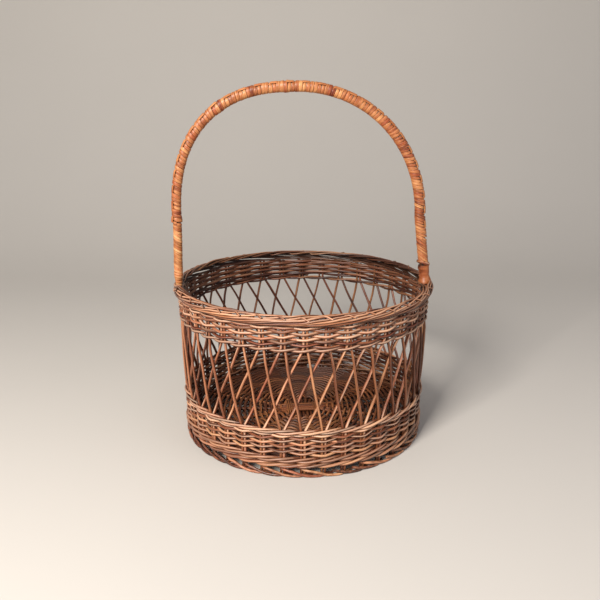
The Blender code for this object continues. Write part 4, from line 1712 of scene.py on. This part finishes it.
@dataclass
class BowHandle:
    """The bow, its lapping with the leader, the paler left leg, and the right leg's collar.

    Attributes:
        plan: The ring of stakes.
        levels: The basket's heights.
        bow: The handle's line.
        left_radius: Radius of the bow on its left leg.
        top_radius: Radius of the bow from its top on.
        tongue_radius: Radius of the slim ends at the top of the wall.
        left_wrap: Height to which the pale skein covers the left leg.
        collar_height: Height of the collar on the right leg.
        knot_height: Height of the strands that bind it.
        roped_height: Length of the steep lapping above them.
        pitch: Distance between two turns of the main lapping.
        leader_period: Length of one over and under of the leader.
        leader_width: Width of the leader.
    """

    plan: WallPlan
    levels: Levels
    bow: BowLine
    left_radius: float = 0.0045
    top_radius: float = 0.0053
    tongue_radius: float = 0.0023
    left_wrap: float = 0.077
    collar_height: float = 0.022
    knot_height: float = 0.006
    roped_height: float = 0.034
    pitch: float = 0.0046
    leader_period: float = 0.0197
    leader_width: float = 0.0042

    def radius(self, along: float) -> float:
        """Radius of the bow itself at a length from its left foot."""
        top = 0.45 * self.bow.length
        share = held_share((along - self.left_wrap) / (top - self.left_wrap))
        foot = min(1.0, along / 0.02, (self.bow.length - along) / 0.02)
        full = self.left_radius + (self.top_radius - self.left_radius) * share
        return 0.0032 + (full - 0.0032) * smooth_step(foot)

    def rod(self) -> Rod:
        """The bow itself, with its slim tongues down in the wall."""
        rod = Rod(tone=0.35, warmth=(0.6,))
        levels = self.levels
        for leg in Leg:
            column = self.bow.column(leg)
            foot = self.bow.feet[leg]
            tip = self.plan.at(column, self.plan.wall(levels.open_top), levels.open_top - 0.004)
            top = self.plan.at(column, self.plan.wall(levels.upper_top), levels.upper_top)
            points = [tip, tip.lerp(top, 0.5), top, top.lerp(foot, 0.5)]
            tongue = list(zip(points, (0.0016, 0.002, self.tongue_radius, 0.0028)))
            for point, radius in tongue if leg is Leg.LEFT else tongue[::-1]:
                rod.add(point, radius)
            if leg is Leg.LEFT:
                for along in np.linspace(0.0, self.bow.length, 150):
                    rod.add(self.bow.centre(along), self.radius(along))
        return rod

    def lean(self, along: float) -> float:
        """How far the turns of the main lapping lean at a place."""
        shares = (0.0, 0.12, 0.2, 0.3, 0.5, 0.66, 0.8, 1.0)
        leans = (0.2, 0.2, 0.3, 0.1, -0.1, 0.0, 0.3, 0.5)
        return float(np.interp(along / self.bow.length, shares, leans))

    def pale_lean(self, along: float) -> float:
        """How far the turns on the left leg lean at a place."""
        return float(np.interp(along, (0.0, 0.010, 0.018, 0.06, 0.077), (0.0, 0.1, 0.5, 0.6, 0.2)))

    def bulge(self, along: float) -> float:
        """Extra height of the main lapping: at its lower end and where a new skein was joined in."""
        joins = ((self.left_wrap + 0.006, 0.0011, 0.005), (0.245, 0.0008, 0.006), (0.335, 0.0009, 0.004))
        return sum(height * math.exp(-(((along - place) / reach) ** 2)) for place, height, reach in joins)

    def pale_bulge(self, along: float) -> float:
        """Extra height of the pale lapping where it thickens over the foot."""
        return 0.0009 * math.exp(-(((along - 0.008) / 0.006) ** 2))

    def leader(self, start: float, end: float, material: bpy.types.Material) -> None:
        """Lays the flat strip that runs along the outer side, over some turns and under the next.

        Args:
            start: Where it starts along the bow.
            end: Where it ends.
            material: Its finish.
        """
        deselect()
        steps = int((end - start) / 0.0011)
        bpy.ops.mesh.primitive_grid_add(x_subdivisions=steps, y_subdivisions=4, size=1.0)
        strip = bpy.context.object
        strip.name = "lapping_leader"
        paint(strip.data, lambda point: (0.5 * point.y, start + (point.x + 0.5) * (end - start), 0.75, 0.7))
        for vertex in strip.data.vertices:
            along = start + (vertex.co.x + 0.5) * (end - start)
            over = leader_height(along, self.leader_period)
            rise = -0.0006 + 0.0020 * over - 0.0003 * (2.0 * vertex.co.y) ** 2
            distance = self.radius(along) + 0.0012 + rise + self.bulge(along)
            angle = LEADER_ANGLE + vertex.co.y * self.leader_width / distance
            angle += 0.10 * wobble(14.0 * along, 2.0)
            vertex.co = self.bow.place(along, angle, distance)
        thicken(strip, 0.0006)
        finish(strip, material)
        hand_in(strip, "lapping_skein")

    def collar_bark(self, point: Vector) -> tuple[float, float, float, float]:
        """Map, tone and warmth of the collar at a point of the plain tube that it is made from."""
        tone = 0.5 + 0.35 * wobble(3.0 * point.z + 0.3 * point.x, 5.0)
        return 0.25 * point.z, 0.006 * math.atan2(point.y, point.x), tone, 0.6

    def collar(self) -> None:
        """Lays the smooth strip of bark round the right leg, flaring over the rim."""
        deselect()
        bpy.ops.mesh.primitive_cylinder_add(vertices=28, radius=1.0, depth=1.0, end_fill_type="NOTHING")
        collar = bpy.context.object
        collar.name = "right_leg_collar"
        with edited(collar):
            bpy.ops.mesh.subdivide(number_cuts=6)
        paint(collar.data, self.collar_bark)
        top = self.bow.length - self.collar_height
        for vertex in collar.data.vertices:
            x, y, z = vertex.co
            angle = math.atan2(y, x)
            share = z + 0.5
            along = top + 1.12 * self.collar_height * share
            flare = 0.0024 * smooth_step((share - 0.6) / 0.4) * (1.0 + 0.35 * math.cos(angle))
            crease = 0.0005 * math.sin(17.0 * share + 1.3 * math.sin(angle)) * (1.0 - 0.5 * share)
            distance = max(self.radius(along), 0.0044) + 0.0016 + flare + crease
            vertex.co = self.bow.place(along, angle, distance)
        thicken(collar, 0.0012)
        finish(collar, COLLAR_FINISH.material())
        hand_in(collar, "lapping_skein", "right_leg_sleeve")

    def knot(self) -> list[Rod]:
        """The twisted strands that bind the top of the right leg's collar."""
        middle = self.bow.length - self.collar_height - 0.5 * self.knot_height - 0.0004
        rods = []
        for strand in range(3):
            rod = Rod(tone=0.2 + 0.2 * strand, warmth=(0.4,))
            for step in range(49):
                angle = 2.4 + FULL_TURN * step / 48.0 * 1.04
                twist = 2.0 * angle + FULL_TURN * strand / 3.0
                along = middle + 0.0011 * math.cos(twist) + 0.0026 * math.sin(angle - 0.2)
                distance = self.radius(along) + 0.0019 + 0.0007 * math.sin(twist)
                rod.add(self.bow.place(along, angle, distance), 0.0011)
            rods.append(rod)
        return rods

    def loops(self) -> list[Rod]:
        """The strands that pass in front of the left foot, from its outer to its inner side."""
        rods = []
        for number, (sunk, wide, radius) in enumerate(((0.0070, 0.0066, 0.0014), (0.0104, 0.0074, 0.0013))):
            rod = Rod(tone=0.75 - 0.25 * number, warmth=(0.95,), slants=(0.4, 0.8))
            for step in range(25):
                angle = math.radians(66.0 - 7.3 * step)
                drop = 0.0042 * (1.0 - math.cos(angle - 0.15))
                rod.add(self.bow.place(-sunk - drop, angle, wide), radius)
            rods.append(rod)
        return rods

    def build(self) -> None:
        """Builds the bow and everything wound round it."""
        skein = SKEIN_FINISH.material()
        pale = PALE_SKEIN_FINISH.material()
        roped_end = self.bow.length - self.collar_height - self.knot_height - 0.0006
        roped_start = roped_end - self.roped_height
        wind = partial(Lapping, bow=self.bow, bow_radius=self.radius)
        bark = Look(BOW_FINISH.material())
        lay("bow_rod", [self.rod()], BOW_SIDES, bark, "bow_rod", "handle_bow")
        wind(
            name="handle_skein",
            start=self.left_wrap + 0.0004,
            end=roped_start,
            pitch=self.pitch,
            width=self.pitch * 0.97,
            thickness=0.0014,
            closing=0.11,
            lean=self.lean,
            bulge=self.bulge,
            leader_period=self.leader_period,
        ).build(skein, "handle_lapping")
        wind(
            name="roped_skein",
            start=roped_start,
            end=roped_end,
            pitch=0.0040,
            width=0.0038,
            thickness=0.0016,
            lean=lambda along: 0.9,
            seed=12,
        ).build(skein)
        wind(
            name="left_leg_skein",
            start=-0.0092,
            end=self.left_wrap,
            pitch=0.0036,
            width=0.0035,
            thickness=0.0014,
            lean=self.pale_lean,
            bulge=self.pale_bulge,
            seed=21,
        ).build(pale, "left_leg_lapping")
        self.leader(self.left_wrap + 0.004, roped_start - 0.002, skein)
        rods_look = Look(STAKE_FINISH.material())
        lay("left_foot_loops", self.loops(), ROD_SIDES, rods_look, "lapping_skein")
        self.collar()
        binding = self.knot()
        lay("right_leg_binding", binding, ROD_SIDES, Look(skein), "lapping_skein", "right_leg_knot")


# The studio


@dataclass
class Studio:
    """The pale floor, the soft light and the camera.

    Attributes:
        camera_distance: How far in front of the basket's axis the camera stands.
        camera_height: How high it stands.
        camera_pitch: How far it looks down, in degrees.
        pixels_of_focus: Its focal length in pixels of the picture.
        frame_pixels: Width of the picture.
        centre_pixel: Column of the picture in which the basket's axis lies.
        floor_size: Width and whole length of the floor and backdrop.
        floor_front: How far the floor reaches in front of the axis.
        floor_run: Length of the flat floor.
        backdrop_bend: Length of the bend behind it.
    """

    camera_distance: float = 0.934
    camera_height: float = 0.4614
    camera_pitch: float = 16.77
    pixels_of_focus: float = 702.2
    frame_pixels: float = 600.0
    centre_pixel: float = 303.4
    floor_size: float = 6.0
    floor_front: float = 2.2
    floor_run: float = 3.0
    backdrop_bend: float = 1.2

    def floor(self) -> None:
        """Lays the floor, which bends up behind the basket into a plain backdrop."""
        deselect()
        bpy.ops.mesh.primitive_grid_add(x_subdivisions=1, y_subdivisions=48, size=1.0)
        floor = bpy.context.object
        floor.name = "studio_floor"
        bend_radius = self.backdrop_bend / (0.5 * math.pi)
        for vertex in floor.data.vertices:
            run = self.floor_size * (vertex.co.y + 0.5)
            turn = held_share((run - self.floor_run) / self.backdrop_bend) * 0.5 * math.pi
            rest = max(0.0, run - self.floor_run - self.backdrop_bend)
            back = min(run, self.floor_run) + bend_radius * math.sin(turn) - self.floor_front
            rise = bend_radius * (1.0 - math.cos(turn)) + rest
            vertex.co = (self.floor_size * vertex.co.x, back, rise)
        bpy.ops.object.shade_smooth()
        floor.data.materials.append(StageFinish().material())
        floor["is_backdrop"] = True

    def world(self) -> None:
        """A pale even sky, lighter where the camera looks past the floor."""
        world = bpy.data.worlds.new("studio_sky")
        bpy.context.scene.world = world
        world.use_nodes = True
        tree = world.node_tree
        background = tree.nodes["Background"]
        path = tree.nodes.new("ShaderNodeLightPath")
        strength = tree.nodes.new("ShaderNodeMapRange")
        strength.inputs["To Min"].default_value = 0.24
        strength.inputs["To Max"].default_value = 0.9
        tree.links.new(path.outputs["Is Camera Ray"], strength.inputs["Value"])
        tree.links.new(strength.outputs["Result"], background.inputs["Strength"])
        background.inputs["Color"].default_value = (0.97, 0.96, 1.0, 1.0)

    def lamp(
        self, name: str, place: tuple[float, float, float], size: float, power: float, tint: str
    ) -> None:
        """A soft square lamp that faces the basket.

        Args:
            name: The lamp's name.
            place: Where it hangs.
            size: Its width.
            power: Its power in watts.
            tint: Its colour.
        """
        data = bpy.data.lights.new(name, "AREA")
        data.size = size
        data.energy = power
        data.color = linear(tint)[:3]
        lamp = bpy.data.objects.new(name, data)
        lamp.location = place
        lamp.rotation_euler = (Vector((0.0, 0.0, 0.18)) - Vector(place)).to_track_quat("-Z", "Y").to_euler()
        bpy.context.scene.collection.objects.link(lamp)

    def camera(self) -> None:
        """The camera at the photograph's place and angle."""
        data = bpy.data.cameras.new("camera")
        data.sensor_width = 36.0
        data.lens = data.sensor_width * self.pixels_of_focus / self.frame_pixels
        camera = bpy.data.objects.new("camera", data)
        camera.location = (0.0, -self.camera_distance, self.camera_height)
        yaw = math.atan((self.centre_pixel - 0.5 * self.frame_pixels) / self.pixels_of_focus)
        camera.rotation_euler = (math.radians(90.0 - self.camera_pitch), 0.0, yaw)
        bpy.context.scene.collection.objects.link(camera)
        bpy.context.scene.camera = camera

    def build(self) -> None:
        """Sets the stage."""
        self.floor()
        self.world()
        self.lamp("key", (-0.75, -1.45, 1.15), 0.6, 56.0, "FFF8F1")
        self.lamp("fill", (1.3, -0.8, 0.9), 1.2, 5.0, "F6F4FF")
        self.camera()
        bpy.context.scene.view_settings.view_transform = "Standard"


def build_bands(levels: Levels, low: Ring, high: Ring) -> None:
    """Builds the two woven bands, the wale and the two twists.

    Args:
        levels: The basket's heights.
        low: The stake pairs below the open band.
        high: The stake pairs above it.
    """
    WovenBand(
        "lower_randing", low, levels.lower_bottom, levels.lower_top, rows=9, crest_radius=0.0019,
        cross_radius=0.0017, seed=100, nodes=("lower_weaver_a", "lower_weaver_b"),
    ).build()
    WovenBand(
        "upper_randing", high, levels.upper_bottom, levels.upper_top, rows=8, crest_radius=0.0019,
        cross_radius=0.0019, seed=200, nodes=("upper_weaver_a", "upper_weaver_b"),
    ).build()
    Wale(
        "heavy_wale", low, levels.wale_middle, 0.0018, out_steps=(1.0, 1.0, -1.0), up_steps=(-1.0, 1.0, 0.0),
        slot="foot_rod", seed=300, nodes=("upsett_rod_a", "upsett_rod_b", "upsett_rod_c"),
        rounds=2, climb=0.0071,
    ).build(FOOT_FINISH)
    Wale(
        "lower_twist", low, levels.lower_twist, 0.0016, out_steps=(1.0, 1.0, -1.0), up_steps=(-1.0, 1.0, 0.0),
        slot="weaver_rod", seed=400, nodes=("lower_fitch_a", "lower_fitch_b"),
    ).build(WEAVER_FINISH)
    Wale(
        "upper_twist", high, levels.upper_twist, 0.0016, out_steps=(1.0, -1.0), up_steps=(0.0, 0.0),
        slot="weaver_rod", seed=500, nodes=("upper_fitch_a", "upper_fitch_b"), cross=0.0013,
    ).build(WEAVER_FINISH)


def corners(box: tuple[Vector, Vector]) -> list[list[float]]:
    """A box's two corners as plain lists."""
    return [list(corner) for corner in box]


def main() -> None:
    """Builds the basket, its stage, its light and its camera."""
    logging.basicConfig(level=logging.INFO, format="%(name)s: %(message)s")
    plan = WallPlan()
    levels = Levels.from_frame()
    bow = BowLine(plan, levels)
    stakes = StakePairs(plan, levels, bow)
    stakes.build()
    low = Ring(plan, plan.lower_gap, 0.0, stakes.stake_radius)
    high = Ring(plan, plan.upper_gap, plan.upper_shift, stakes.tip_radius)
    build_bands(levels, low, high)
    FootBorder(plan, levels).build()
    base_low, base_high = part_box("base_sticks_across")
    WovenBase(plan, 0.5 * (base_low.z + base_high.z)).build()
    BowHandle(plan, levels, bow).build()
    Studio().build()
    {"cad": corners((CAD_LOW, CAD_HIGH)), "visual": corners(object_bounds())}


if __name__ == "__main__":
    main()
